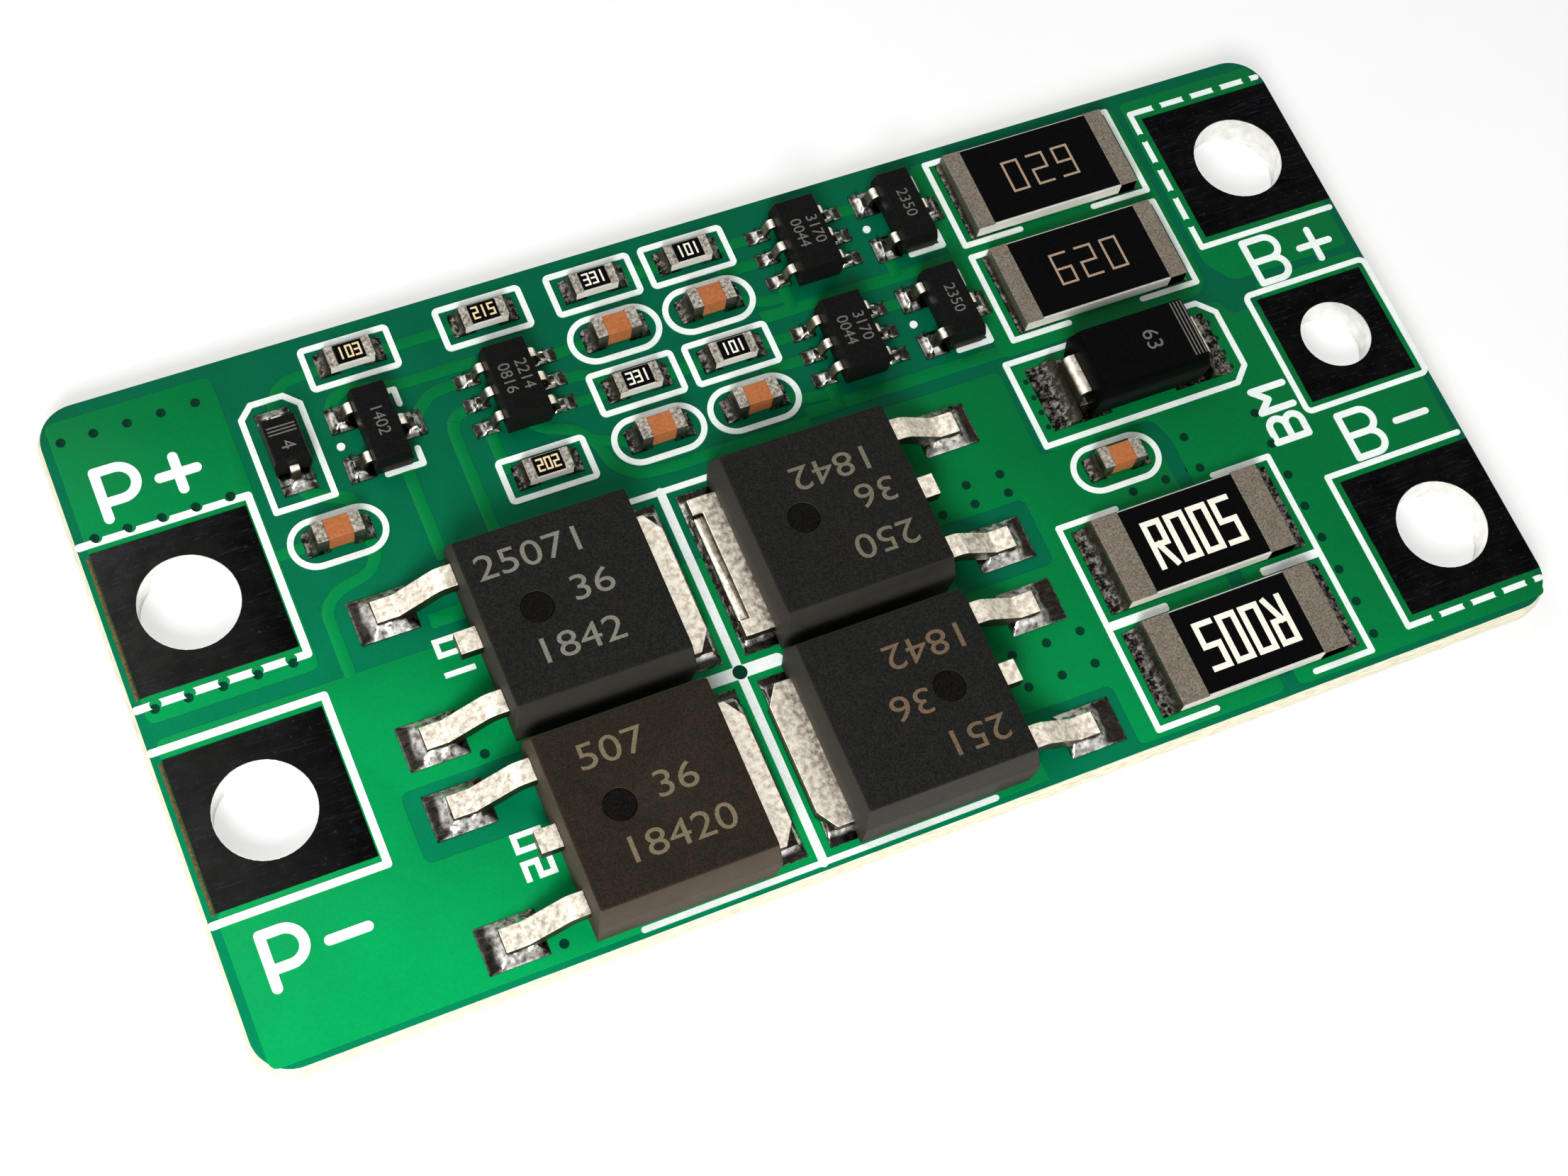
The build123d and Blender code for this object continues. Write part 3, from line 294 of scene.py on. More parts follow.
finishes = {
    "board_green": board_finish(),
    "print_white": plain_finish(
        "white_print", paint(226, 240, 232), paint(250, 253, 250),
        size=0.08, rough=(0.5, 0.7), depth=0.006, shine=0.3,
    ),
    # Painted reflection: near-black level tin and bright painted highlights on its slopes
    "tinned_metal": tinned_finish(
        "tinned_pad_painted_reflection", (paint(7, 7, 7), paint(16, 16, 15)), (paint(110, 106, 98), paint(216, 212, 202)),
        blotch=0.9, speck=paint(50, 58, 74), haze=paint(34, 34, 33),
    ),
    "lead_metal": plain_finish(
        "plated_lead", paint(190, 177, 158), paint(254, 245, 228),
        size=0.2, rough=(0.28, 0.5), depth=0.014, metallic=1.0,
        side=paint(86, 76, 62), specks=(0.34, 0.58),
    ),
    "end_metal": plain_finish(
        "dull_tinned_end", paint(84, 76, 67), paint(150, 140, 126),
        size=0.06, rough=(0.4, 0.6), depth=0.012, metallic=1.0,
    ),
    # Its lighter side colour is partly painted light on the case fronts that the lamps catch
    "case_black": plain_finish(
        "moulded_case", paint(15, 15, 13), paint(46, 45, 41),
        size=0.06, rough=(0.5, 0.7), depth=0.008, shine=0.06,
        side=paint(58, 55, 50), specks=(0.4, 0.8),
    ),
    "glaze_black": plain_finish(
        "black_glaze", paint(4, 4, 4), paint(9, 9, 9),
        size=0.1, rough=(0.3, 0.45), depth=0.002, shine=0.02,
    ),
    "ceramic_white": plain_finish(
        "white_ceramic", paint(206, 202, 192), paint(234, 231, 222),
        size=0.06, rough=(0.45, 0.6), depth=0.005,
    ),
    "ceramic_tan": plain_finish(
        "brown_ceramic", paint(158, 90, 48), paint(186, 112, 64),
        size=0.12, rough=(0.4, 0.55), depth=0.003, shine=0.2,
    ),
    "code_print": code_finish(),
}
# Over copper the mask is a lighter green; its near and far greens are also painted light falloff
copper_mask = mask_finish(
    "mask_over_copper", paint(2, 158, 84), paint(0, 110, 54), mottle=0.08, shine=0.27
)[0]
# The vias' darker green is painted shade, standing in for a deeper dip than the profile has
via_mask_painted_shade = mask_finish("mask_in_via_painted_shade", paint(0, 66, 46), paint(0, 50, 34), mottle=0.3, shine=0.2)[0]
small_end = plain_finish(
    "small_tinned_end", paint(88, 80, 68), paint(208, 201, 188),
    size=0.12, rough=(0.22, 0.42), depth=0.018, metallic=1.0,
    side=paint(96, 88, 76), specks=(0.34, 0.68),
)
bright_tin = plain_finish(
    "bright_tin", paint(214, 212, 206), paint(250, 250, 247),
    size=0.4, rough=(0.3, 0.5), depth=0.004, metallic=1.0,
)
# Its lighter side colour is partly painted light on the case fronts that the lamps catch
brown_case = plain_finish(
    "brown_moulded_case", paint(28, 24, 18), paint(58, 48, 38),
    size=0.06, rough=(0.5, 0.7), depth=0.008, shine=0.06,
    side=paint(76, 67, 58), specks=(0.4, 0.8),
)
small_case = plain_finish(
    "small_moulded_case", paint(4, 4, 4), paint(22, 22, 20),
    size=0.07, rough=(0.32, 0.48), depth=0.006, shine=0.06,
    side=paint(20, 20, 19), specks=(0.42, 0.8),
)
# Painted reflection on the lands' tin: near-black as a mirror of dark surroundings, pale specks as
# painted glints, lighter painted upright sides
land_tin_painted_reflection = plain_finish(
    "land_tin_painted_reflection", paint(18, 17, 15), paint(178, 172, 160),
    size=0.17, rough=(0.18, 0.4), depth=0.022, metallic=1.0,
    side=paint(96, 90, 78), specks=(0.46, 0.84),
)
# Near-black finish of the pin dips and corner dots: painted shade in their shallow dishes
dip_painted_shade = plain_finish(
    "dip_painted_shade", paint(3, 3, 3), paint(24, 22, 20), size=0.09, rough=(0.3, 0.45), depth=0.012, shine=0.03
)
laser_marks = [
    plain_finish(
        f"laser_mark_{number}", paint(*dark), paint(*light),
        size=0.05, rough=(0.6, 0.8), depth=0.004, shine=0.2,
    )
    for number, (dark, light) in enumerate((
        ((96, 95, 86), (134, 133, 120)), ((84, 80, 68), (122, 116, 98)),
        ((88, 79, 60), (126, 114, 90)), ((80, 66, 52), (120, 99, 76)),
    ), start=1)
]
faint_mark = plain_finish(
    "faint_laser_mark", paint(84, 80, 76), paint(118, 113, 106),
    size=0.05, rough=(0.6, 0.8), depth=0.003, shine=0.25,
)
# Painted reflection: dark level solder and bright painted highlights on its slopes
solder = tinned_finish(
    "solder", (paint(20, 19, 17), paint(54, 50, 44)), (paint(84, 78, 68), paint(252, 249, 240)),
    blotch=0.2, speck=paint(96, 92, 84),
)
bare_copper = plain_finish(
    "bare_copper", paint(74, 56, 36), paint(128, 98, 64),
    size=0.1, rough=(0.4, 0.6), depth=0.004, metallic=1.0,
)


# Meshes

CREASE = 0.6  # the angle, in radians, past which neighbouring faces meet at an edge


def put_in(name, shapes, finish):
    """One piece from several shapes, each of points in millimetres, four-sided faces and end faces."""
    points, corners, starts, offset, begun = [], [], [], 0, 0
    for spots, quads, caps in shapes:
        spots = np.asarray(spots, float).reshape(-1, 3)
        quads = np.asarray(quads, int).reshape(-1, 4)
        points.append(spots)
        corners.append(quads.ravel() + offset)
        starts.append(begun + 4 * np.arange(len(quads)))
        begun += quads.size
        for cap in caps:
            corners.append(np.asarray(cap, int) + offset)
            starts.append(np.array([begun]))
            begun += len(cap)
        offset += len(spots)
    points, corners, starts = (np.concatenate(rows) for rows in (points, corners, starts))
    mesh = bpy.data.meshes.new(name)
    mesh.vertices.add(len(points))
    mesh.vertices.foreach_set("co", (points * MM).astype(np.float32).ravel())
    mesh.loops.add(len(corners))
    mesh.loops.foreach_set("vertex_index", corners.astype(np.int32))
    mesh.polygons.add(len(starts))
    mesh.polygons.foreach_set("loop_start", starts.astype(np.int32))
    mesh.update(calc_edges=True)
    mesh.validate()
    finished(bpy.data.objects.new(name, mesh), finish)


def finished(piece, finish):
    """Give a piece its finish and smooth shading, and let it ride on the board."""
    if piece.name not in bpy.context.scene.objects:
        bpy.context.scene.collection.objects.link(piece)
    piece.data.materials.clear()
    piece.data.materials.append(finish)
    piece.data.shade_smooth()
    piece.data.set_sharp_from_angle(angle=CREASE)
    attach(piece, "root")


def loop_faces(rings, around):
    """Four-sided faces between neighbouring rings of points, each ring holding around points."""
    number = np.arange(rings * around).reshape(rings, around)
    ahead = np.roll(number, -1, axis=1)
    return np.stack([number[:-1], ahead[:-1], ahead[1:], number[1:]], axis=-1).reshape(-1, 4)


def grid_faces(rows, columns):
    """The numbers of a grid's points, and the four-sided faces between neighbouring points."""
    number = np.arange(rows * columns).reshape(rows, columns)
    quads = np.stack([number[:-1, :-1], number[1:, :-1], number[1:, 1:], number[:-1, 1:]], axis=-1)
    return number, quads.reshape(-1, 4)


def eased(corners, radius, closed=True, steps=7):
    """A line through corners, each corner eased by a parabola that starts a radius before it.

    The parabola takes less than half of a short side, so that two of them never meet."""
    corners = np.asarray(corners, float)
    before = np.roll(corners, 1, axis=0) - corners
    after = np.roll(corners, -1, axis=0) - corners
    radius = np.broadcast_to(np.asarray(radius, float), len(corners))[:, None]
    reach = [
        np.minimum(radius, 0.49 * np.linalg.norm(side, axis=1)[:, None]) for side in (before, after)
    ]
    first = corners + before / np.linalg.norm(before, axis=1)[:, None] * reach[0]
    last = corners + after / np.linalg.norm(after, axis=1)[:, None] * reach[1]
    share = np.linspace(0, 1, steps)[None, :, None]
    line = (
        (1 - share) ** 2 * first[:, None] + 2 * share * (1 - share) * corners[:, None]
        + share ** 2 * last[:, None]
    )
    if closed:
        return line.reshape(-1, 2)
    return np.concatenate([corners[:1], line[1:-1].reshape(-1, 2), corners[-1:]])


def normals_of(line, closed):
    """Unit vectors to the left of a line of points."""
    if closed:
        run = np.roll(line, -1, axis=0) - np.roll(line, 1, axis=0)
    else:
        run = np.gradient(line, axis=0)
    run /= np.maximum(np.linalg.norm(run, axis=1), 1e-9)[:, None]
    return np.stack([-run[:, 1], run[:, 0]], axis=1)


def plate(outline, low, high, edge=0.02):
    """Low plate with eased edges: its outline, then the same drawn in by edge, closed on top."""
    inward = normals_of(outline, True)
    rings = ((0.0, low), (0.0, high - edge / 2), (edge / 2, high - edge / 6), (edge, high))
    points = [np.column_stack([outline + inward * inset, np.full(len(outline), z)]) for inset, z in rings]
    around = len(outline)
    top = np.arange(around) + (len(rings) - 1) * around
    return np.concatenate(points), loop_faces(len(rings), around), [top, np.arange(around)[::-1]]


def track(line, width, low, high, edge=0.02):
    """Low ridge along a line: a flat top with eased edges, carried along and closed at both ends."""
    across = normals_of(line, False)
    half = width / 2
    profile = ((half, low), (half, high - edge / 2), (half - edge, high), (edge - half, high),
               (-half, high - edge / 2), (-half, low))
    points = np.stack([
        np.column_stack([line + across * side, np.full(len(line), z)]) for side, z in profile
    ], axis=1)
    around = len(profile)
    ends = [np.arange(around), np.arange(around)[::-1] + (len(line) - 1) * around]
    return points.reshape(-1, 3), loop_faces(len(line), around)[:, ::-1], ends


def box_outline(left, low, right, high, radius=0.0):
    """Outline of an upright rectangle, its corners eased."""
    return eased([(left, low), (right, low), (right, high), (left, high)], max(radius, 0.01))


def turned_discs(profile, places, around=16):
    """Profile of radius and height turned about an upright axis, repeated at several places."""
    angle = np.arange(around) / around * 2 * np.pi
    radius, height = np.array(profile, float).T
    ring = np.stack([
        radius[:, None] * np.cos(angle), radius[:, None] * np.sin(angle),
        np.broadcast_to(height[:, None], (len(radius), around)),
    ], axis=-1).reshape(-1, 3)
    faces = loop_faces(len(profile), around)
    caps = [np.arange(around)[::-1], np.arange(around) + (len(profile) - 1) * around]
    return [(ring + np.array([x, y, 0.0]), faces, caps) for x, y in places]


MERGE_REACH = 0.0008  # points of one corner lie closer than this, in millimetres
FLAT_ANGLE = 0.02     # triangles that meet within this angle, in radians, are one face


def merged_copy(node, finish, bevel):
    """The node's own shape as one closed mesh whose edges are eased by a bevel."""
    piece = bpy.data.objects.new(f"{node}_finished", frame["nodes"][node].data.copy())
    shape = bmesh.new()
    shape.from_mesh(piece.data)
    bmesh.ops.remove_doubles(shape, verts=shape.verts, dist=MERGE_REACH * MM)
    bmesh.ops.dissolve_limit(shape, angle_limit=FLAT_ANGLE, verts=shape.verts, edges=shape.edges)
    shape.to_mesh(piece.data)
    shape.free()
    finished(piece, finish)
    ease = piece.modifiers.new("eased_edges", "BEVEL")
    ease.width = bevel * MM
    ease.segments = 2
    ease.limit_method = "ANGLE"
    ease.angle_limit = CREASE
    ease.harden_normals = True
    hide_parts(node)


DIGIT_SHARE = 0.72  # a digit's height as a share of the letter size
MARK_HALF_DEPTH = 0.004


def written(name, text, centre, height, turn, level, finish, wide=1.0):
    """Plain digits lying on a face: centre, height and level in millimetres, turn in quarter turns."""
    line = bpy.data.curves.new(name, "FONT")
    line.body = text
    line.align_x, line.align_y = "CENTER", "CENTER"
    line.size = height / DIGIT_SHARE
    line.extrude = MARK_HALF_DEPTH
    line.resolution_u = 4
    drawn = bpy.data.objects.new(name, line)
    bpy.context.scene.collection.objects.link(drawn)
    bpy.context.view_layer.update()
    mesh = bpy.data.meshes.new_from_object(drawn.evaluated_get(bpy.context.evaluated_depsgraph_get()))
    bpy.data.objects.remove(drawn)
    bpy.data.curves.remove(line)
    mesh.transform(
        Matrix.Scale(MM, 4) @ Matrix.Translation((*centre, level))
        @ Matrix.Rotation(turn * np.pi / 2, 4, "Z") @ Matrix.Diagonal((wide, 1.0, 1.0, 1.0))
    )
    finished(bpy.data.objects.new(name, mesh), finish)


# Copper under the mask: pours with their gaps, and the tracks between the small parts

LOW, HIGH = BOARD_TOP - COPPER_ROOT, BOARD_TOP + COPPER_RISE
STEP = 0.0003  # each track lies this much higher than the last, and each pour this much lower
NARROW = 0.42
TRACK_BEND = 0.35

# Each pour is its corners, and how far before each corner its outline begins to bend
pours = [
    ([(-22.7, 0.18), (-17.12, 0.18), (-17.12, 11.28), (-22.7, 11.28), (-22.7, 6.2), (-17.8, 6.2),
      (-17.8, 1.2), (-22.7, 1.2)], 0.3),
    ([(-22.7, -11.52), (-12.0, -11.52), (-12.0, -7.13), (-16.24, -7.13), (-16.24, -4.67), (-12.0, -4.67),
      (-12.0, -0.37), (-22.7, -0.37), (-22.7, -1.3), (-17.8, -1.3), (-17.8, -6.3), (-22.7, -6.3)], 0.35),
    ([(-12.2, -11.52), (3.4, -11.52), (3.4, -0.37), (-12.2, -0.37)], 0.02),
    ([(-13.35, 0.23), (-12.0, 0.23), (-12.0, 0.78), (-13.35, 0.78)], 0.1),
    ([(8.2, 2.68), (3.4, 2.68), (3.4, -2.07), (6.93, -2.07), (6.93, -4.6), (3.4, -4.6), (3.4, -9.24),
      (6.78, -9.24), (6.78, -11.52), (12.3, -11.52), (12.3, -3.4), (12.3, -1.6), (12.0, -0.8),
      (8.2, -0.8)], 0.3),
    ([(8.55, -0.8), (12.5, -0.8), (12.85, -1.7), (12.85, -11.52), (22.7, -11.52), (22.7, -10.5),
      (17.9, -10.5), (17.9, -5.5), (22.7, -5.5), (22.7, -2.0), (18.5, -2.0), (18.5, 2.0), (17.2, 2.0),
      (16.95, 2.68), (8.55, 2.68)], 0.3),
    ([(17.9, 3.2), (22.7, 3.2), (22.7, 5.3), (17.95, 5.3), (17.95, 10.2), (22.7, 10.2), (22.7, 11.3),
      (17.2, 11.3), (17.2, 4.2)], 0.3),
    ([(18.6, 1.95), (22.7, 1.95), (22.7, 2.9), (18.6, 2.9)], 0.2),
    ([(22.5, -2.2), (22.8, -2.2), (22.8, 2.2), (22.5, 2.2)], 0.1),
    ([(1.2, 7.07), (9.0, 7.07), (9.0, 7.55), (1.2, 7.55)], 0.05),
    ([(8.55, 3.05), (16.4, 3.05), (16.9, 3.5), (16.9, 11.3), (8.55, 11.3)], 0.4),
    ([(1.2, 3.12), (8.9, 3.12), (8.9, 3.6), (1.2, 3.6)], 0.05),
]

# Each track is the corners of its middle line, and its width
tracks = [
    ([(-16.32, -0.45), (-16.32, 2.0), (-15.7, 2.55), (-14.6, 2.75), (-14.15, 3.3), (-14.15, 3.9)], 0.4),
    ([(-15.6, 6.5), (-15.5, 6.05), (-14.3, 5.55), (-14.15, 5.0), (-14.15, 4.4)], 0.5),
    ([(-17.2, 4.32), (-15.9, 4.32)], NARROW),
    ([(-13.7, 10.35), (-14.9, 10.3), (-15.5, 9.75), (-15.6, 9.0)], NARROW),
    ([(-11.6, 10.38), (-8.9, 10.38)], NARROW),
    ([(-13.9, 8.6), (-13.6, 9.2), (-12.9, 9.35), (-11.6, 8.95), (-8.6, 8.95)], NARROW),
    ([(-11.4, 7.35), (-11.0, 7.9), (-10.4, 8.32), (-8.9, 8.35)], NARROW),
    ([(-9.2, 7.35), (-10.0, 7.25), (-10.27, 6.8), (-10.27, 2.3)], NARROW),
    ([(-12.18, 6.6), (-12.18, 2.4)], NARROW),
    ([(-9.13, 6.4), (-9.13, 4.6)], NARROW),
    ([(-7.9, 6.4), (-7.5, 5.85), (-6.4, 5.4), (-5.95, 4.8), (-5.7, 3.7), (-5.1, 3.15), (-3.9, 3.05),
      (1.2, 3.05)], NARROW),
    ([(-6.6, 8.3), (-4.6, 8.38)], NARROW),
    ([(-6.6, 7.35), (-5.4, 7.3), (-4.8, 6.9), (-4.6, 6.4)], NARROW),
    ([(-6.6, 6.35), (-4.6, 6.35)], 0.4),
    ([(-6.6, 5.1), (-4.9, 4.4)], 0.4),
    ([(-3.2, 10.4), (-1.0, 10.4)], 0.55),
    ([(-3.2, 6.35), (-1.0, 6.35)], 0.5),
    ([(0.4, 10.41), (2.4, 10.35)], NARROW),
    ([(0.4, 9.4), (2.4, 9.4)], NARROW),
    ([(0.4, 8.38), (1.4, 7.9), (2.4, 7.8)], NARROW),
    ([(0.4, 6.35), (2.4, 6.3)], NARROW),
    ([(0.4, 5.35), (2.4, 5.35)], NARROW),
    ([(0.4, 4.32), (1.4, 3.9), (2.4, 3.8)], NARROW),
    ([(2.4, 8.4), (2.4, 7.3)], NARROW),
    ([(6.4, 8.4), (6.4, 7.3)], NARROW),
    ([(2.4, 4.3), (2.4, 3.2)], NARROW),
    ([(5.0, 10.35), (6.4, 10.35)], NARROW),
    ([(5.0, 6.3), (6.4, 6.3)], NARROW),
]
copper = [track(eased(line, TRACK_BEND, closed=False), width, LOW, HIGH + STEP * place)
          for place, (line, width) in enumerate(tracks)]
copper += [plate(eased(corners, radius), LOW, HIGH - STEP * place)
           for place, (corners, radius) in enumerate(pours, start=1)]
put_in("copper_under_mask", copper, copper_mask)

# Along the outer side of each load pad the mask stops short of the board's end
strip_left, strip_right, strip_top = -22.82, -22.71, HIGH + 0.01
bare_strips = [
    plate(box_outline(strip_left, low, strip_right, high, radius=0.04), LOW, strip_top)
    for low, high in ((1.05, 6.25), (-6.4, -1.15))
]
put_in("bare_copper_strips", bare_strips, bare_copper)


# Vias closed by the mask: a low rim round a shallow dip, darkened with painted shade

def via_places():
    """Vias in rows beside the load pads, the power transistors and the sense resistors."""
    load_columns = (-22.36, -21.28, -20.16, -19.03, -17.87)
    rows = [[(x, y) for x in load_columns] for y in (10.48, 6.85, 0.62)]
    rows += [
        [(5.27, -0.96), (6.55, -0.97), (4.05, -1.7), (5.26, -1.7), (6.53, -1.7)],
        [(4.1, -7.16), (5.37, -7.16), (6.63, -7.16), (4.13, -8.38), (5.37, -8.38), (6.6, -8.38)],
        [(-13.3, -4.35), (-13.2, -11.0), (13.3, -1.85), (13.3, -3.1), (11.95, -3.1), (10.66, -3.13)],
        [(16.15, -1.85 - 1.27 * step) for step in range(8)],
    ]
    return [spot for row in rows for spot in row]


# Profiles are pairs of radius and height. The vias at the big diode's lands are smaller than the
# others, and a wider spot lies on the crossing of the white lines between the power transistors.
via_profile = (
    (0.16, LOW), (0.16, HIGH + 0.011), (0.14, HIGH + 0.015),
    (0.11, HIGH + 0.012), (0.07, HIGH + 0.004), (0.02, HIGH + 0.002),
)
small_via_share = 0.62
small_profile = tuple((radius * small_via_share, height) for radius, height in via_profile)
diode_vias = [(x, y) for x in (8.94, 16.2) for y in (1.95, 1.3, 0.7, 0.1)]
vias = turned_discs(via_profile, via_places()) + turned_discs(small_profile, diode_vias)
print_top = BOARD_TOP + 0.05
spot_profile = (
    (0.25, print_top - 0.01), (0.25, print_top + 0.003),
    (0.2, print_top + 0.005), (0.05, print_top + 0.005),
)
crossing = (-4.63, -4.6)
vias += turned_discs(spot_profile, [crossing], 24)
put_in("closed_vias", vias, via_mask_painted_shade)


# Tinned walls of the terminal holes

WALL_STEPS = 64


def sleeve(x, y, radius):
    """Thin tube on a hole's wall: four rings, outer and inner, joined all the way round."""
    outer, inner = radius + 0.01, radius - 0.015
    rings = ((outer, 0.02), (inner, 0.01), (inner, SEAT - 0.01), (outer, SEAT - 0.02))
    angle = np.arange(WALL_STEPS) / WALL_STEPS * 2 * np.pi
    points = np.concatenate([
        np.column_stack([x + r * np.cos(angle), y + r * np.sin(angle), np.full(WALL_STEPS, z)])
        for r, z in rings
    ])
    number = np.arange(len(points)).reshape(len(rings), WALL_STEPS)
    ahead = np.roll(number, -1, axis=1)
    quads = np.stack([number, np.roll(number, -1, axis=0), np.roll(ahead, -1, axis=0), ahead], axis=-1)
    return points, quads.reshape(-1, 4), []


# Each hole's centre and radius
terminal_holes = (
    (-20.255, 3.72, 1.65), (-20.255, -3.72, 1.65),
    (20.45, 7.78, 1.65), (20.45, 0.0, 1.3), (20.45, -7.95, 1.65),
)
put_in("plated_hole_walls", [sleeve(*hole) for hole in terminal_holes], bright_tin)


# Solder drawn up round the feet and tabs

SOLDER_SUNK = 0.004  # its rim lies this far under the land's face
SOLDER_BASE = 0.03   # its height away from all metal
RIM_WIDTH = 0.07     # how far in from the land's rim it comes near its height
RIPPLE = 0.18        # how much its rise varies, as a share
FALL = 1.3           # the power of the distance in its fall


def meniscus(left, low, right, high, foot, rise, reach, steps=40):
    """Solder over a land. Its height is a base plus a rise, gently rippled, that falls away as the
    exponential of the distance from the metal's own rectangle, and it drops to the land along the
    land's rim. A flat face closes it underneath."""
    x, y = np.meshgrid(np.linspace(left, right, steps), np.linspace(low, high, steps), indexing="ij")
    across = np.maximum(np.maximum(foot[0] - x, x - foot[2]), 0)
    along = np.maximum(np.maximum(foot[1] - y, y - foot[3]), 0)
    away = np.hypot(across, along)
    inside = np.minimum(np.minimum(x - left, right - x), np.minimum(y - low, high - y))
    pillow = 1 - np.exp(-inside / RIM_WIDTH)
    ripple = 1 + RIPPLE * np.sin(9.1 * x + 2.3 * y) * np.cos(7.3 * y - 3.1 * x)
    drawn_up = rise * ripple * np.exp(-(away / reach) ** FALL)
    height = SEAT - SOLDER_SUNK + pillow * (SOLDER_BASE + drawn_up)
    number, quads = grid_faces(steps, steps)
    rim = np.concatenate([number[:, 0], number[-1, 1:], number[-2::-1, -1], number[0, -2:0:-1]])
    return np.stack([x, y, height], axis=-1).reshape(-1, 3), quads, [rim[::-1]]


# Each power transistor's case centre, and the way along X that its leads point. The two on the
# battery side have their lands in one line, although one case sits a little off it.
transistor_seats = ((-9.23, -1.10, -1), (-0.03, -1.10, 1), (-9.23, -8.10, -1), (-0.28, -8.10, 1))
battery_side_lands = -0.03

# Reaches from that centre along X, and half widths along Y, of lands, feet and tabs
lead_pitch = 2.285
lead_land, lead_land_half = (4.45, 6.45), 0.78
lead_foot, lead_foot_half = (4.88, 5.78), 0.4
tab_land, tab_land_half = (2.9, 4.2), 3.02
tab_metal, tab_metal_half = (1.0, 4.02), 2.58

pools = []
for x, y, side in transistor_seats:
    land_x = battery_side_lands if side > 0 else x
    for row in (y - lead_pitch, y + lead_pitch):
        land = sorted(land_x + side * reach for reach in lead_land)
        foot = sorted(x + side * reach for reach in lead_foot)
        pools.append(meniscus(
            land[0], row - lead_land_half, land[1], row + lead_land_half,
            (foot[0], row - lead_foot_half, foot[1], row + lead_foot_half), rise=0.26, reach=0.22,
        ))
    land = sorted(land_x - side * reach for reach in tab_land)
    tab = sorted(x - side * reach for reach in tab_metal)
    pools.append(meniscus(
        land[0], y - tab_land_half, land[1], y + tab_land_half,
        (tab[0], y - tab_metal_half, tab[1], y + tab_metal_half), rise=0.14, reach=0.1, steps=70,
    ))
put_in("transistor_solder", pools, solder)

# Tin that fills the notch in the second power transistor's tab
notch_fill = plate(box_outline(-4.06, -3.06, -3.7, 0.86, radius=0.1), SEAT, SEAT + 0.36, edge=0.09)
put_in("notch_solder", [notch_fill], finishes["lead_metal"])

# Near and far end of a small part's land and half its width, then the same of the foot on it
small_pitch = 0.95
controller_foot = (0.95, 1.8, 0.25, 1.13, 1.4, 0.18)
small_transistor_foot = (0.6, 1.5, 0.475, 0.95, 1.2, 0.21)
small_diode_foot = (0.52, 1.57, 0.575, 1.08, 1.27, 0.17)

small_feet = []
for x, y in controller_centres:
    small_feet += [(x, y + row, side, *controller_foot)
                   for side in (-1, 1) for row in (-small_pitch, 0, small_pitch)]
for x, y in small_transistor_centres:
    small_feet += [(x, y + row, side, *small_transistor_foot)
                   for side, row in ((-1, -small_pitch), (-1, small_pitch), (1, 0))]
small_pools = []
for x, y, side, near, far, half, heel, toe, narrow in small_feet:
    land = sorted((x + side * near, x + side * far))
    foot = sorted((x + side * heel, x + side * toe))
    small_pools.append(meniscus(
        land[0], y - half, land[1], y + half,
        (foot[0], y - narrow, foot[1], y + narrow), rise=0.17, reach=0.1, steps=24,
    ))
x, y = small_diode_centre
near, far, half, heel, toe, narrow = small_diode_foot
for side in (-1, 1):
    land = sorted((y + side * near, y + side * far))
    foot = sorted((y + side * heel, y + side * toe))
    small_pools.append(meniscus(
        x - half, land[0], x + half, land[1],
        (x - narrow, foot[0], x + narrow, foot[1]), rise=0.2, reach=0.14, steps=24,
    ))
put_in("small_part_solder", small_pools, solder)


# The CAD's own shapes with their edges eased

node_finish = {row["node"]: row["material_slot"] for row in frame["record"]["subparts"]}

# How wide each finish's edges are eased, in millimetres, and the parts with a finish of their own
eased_edges = {"case_black": 0.03, "lead_metal": 0.035, "end_metal": 0.035, "glaze_black": 0.015,
               "ceramic_white": 0.02, "ceramic_tan": 0.03}
own_finish = {
    "mosfet_3_case": brown_case, "chip_end_caps": small_end, "small_diode_case": small_case,
    "soldered_lands": land_tin_painted_reflection,
}
own_finish.update({
    f"{kind}_{number}_case": small_case for kind in ("controller", "transistor") for number in (1, 2, 3)
})
for node, slot in node_finish.items():
    finish = own_finish.get(node, finishes[slot])
    if slot in eased_edges:
        merged_copy(node, finish, eased_edges[slot])
    else:
        shown = frame["nodes"][node].data.materials
        shown.clear()
        shown.append(finish)


# Markings: plain numbers only, each let into the face that it lies on

MARK_SINK = 0.002
case_level = POWER_TRANSISTOR_TOP - MARK_SINK
case_digit, case_digit_stretch = 0.9, 1.22

# Each row is its text and its place from the case's centre, along and across the way it is read
transistor_marks = (
    (("25071", -0.68, 1.76), ("36", 0.76, 0.13), ("1842", -0.31, -1.54)),
    (("250", -1.11, 1.57), ("36", -1.46, -0.09), ("1842", -0.47, -1.38)),
    (("507", -0.76, 1.76), ("36", 0.76, 0.13), ("18420", 0.23, -1.54)),
    (("251", -1.29, 1.78), ("36", 0.26, 0.14), ("1842", -1.03, -1.55)),
)
for number, ((x, y, side), rows) in enumerate(zip(transistor_seats, transistor_marks), start=1):
    turn = 0 if side < 0 else 2
    for row, (text, along, across) in enumerate(rows):
        written(
            f"transistor_mark_{number}_{row}", text, (x - side * along, y - side * across),
            case_digit, turn, case_level, laser_marks[number - 1], wide=case_digit_stretch,
        )

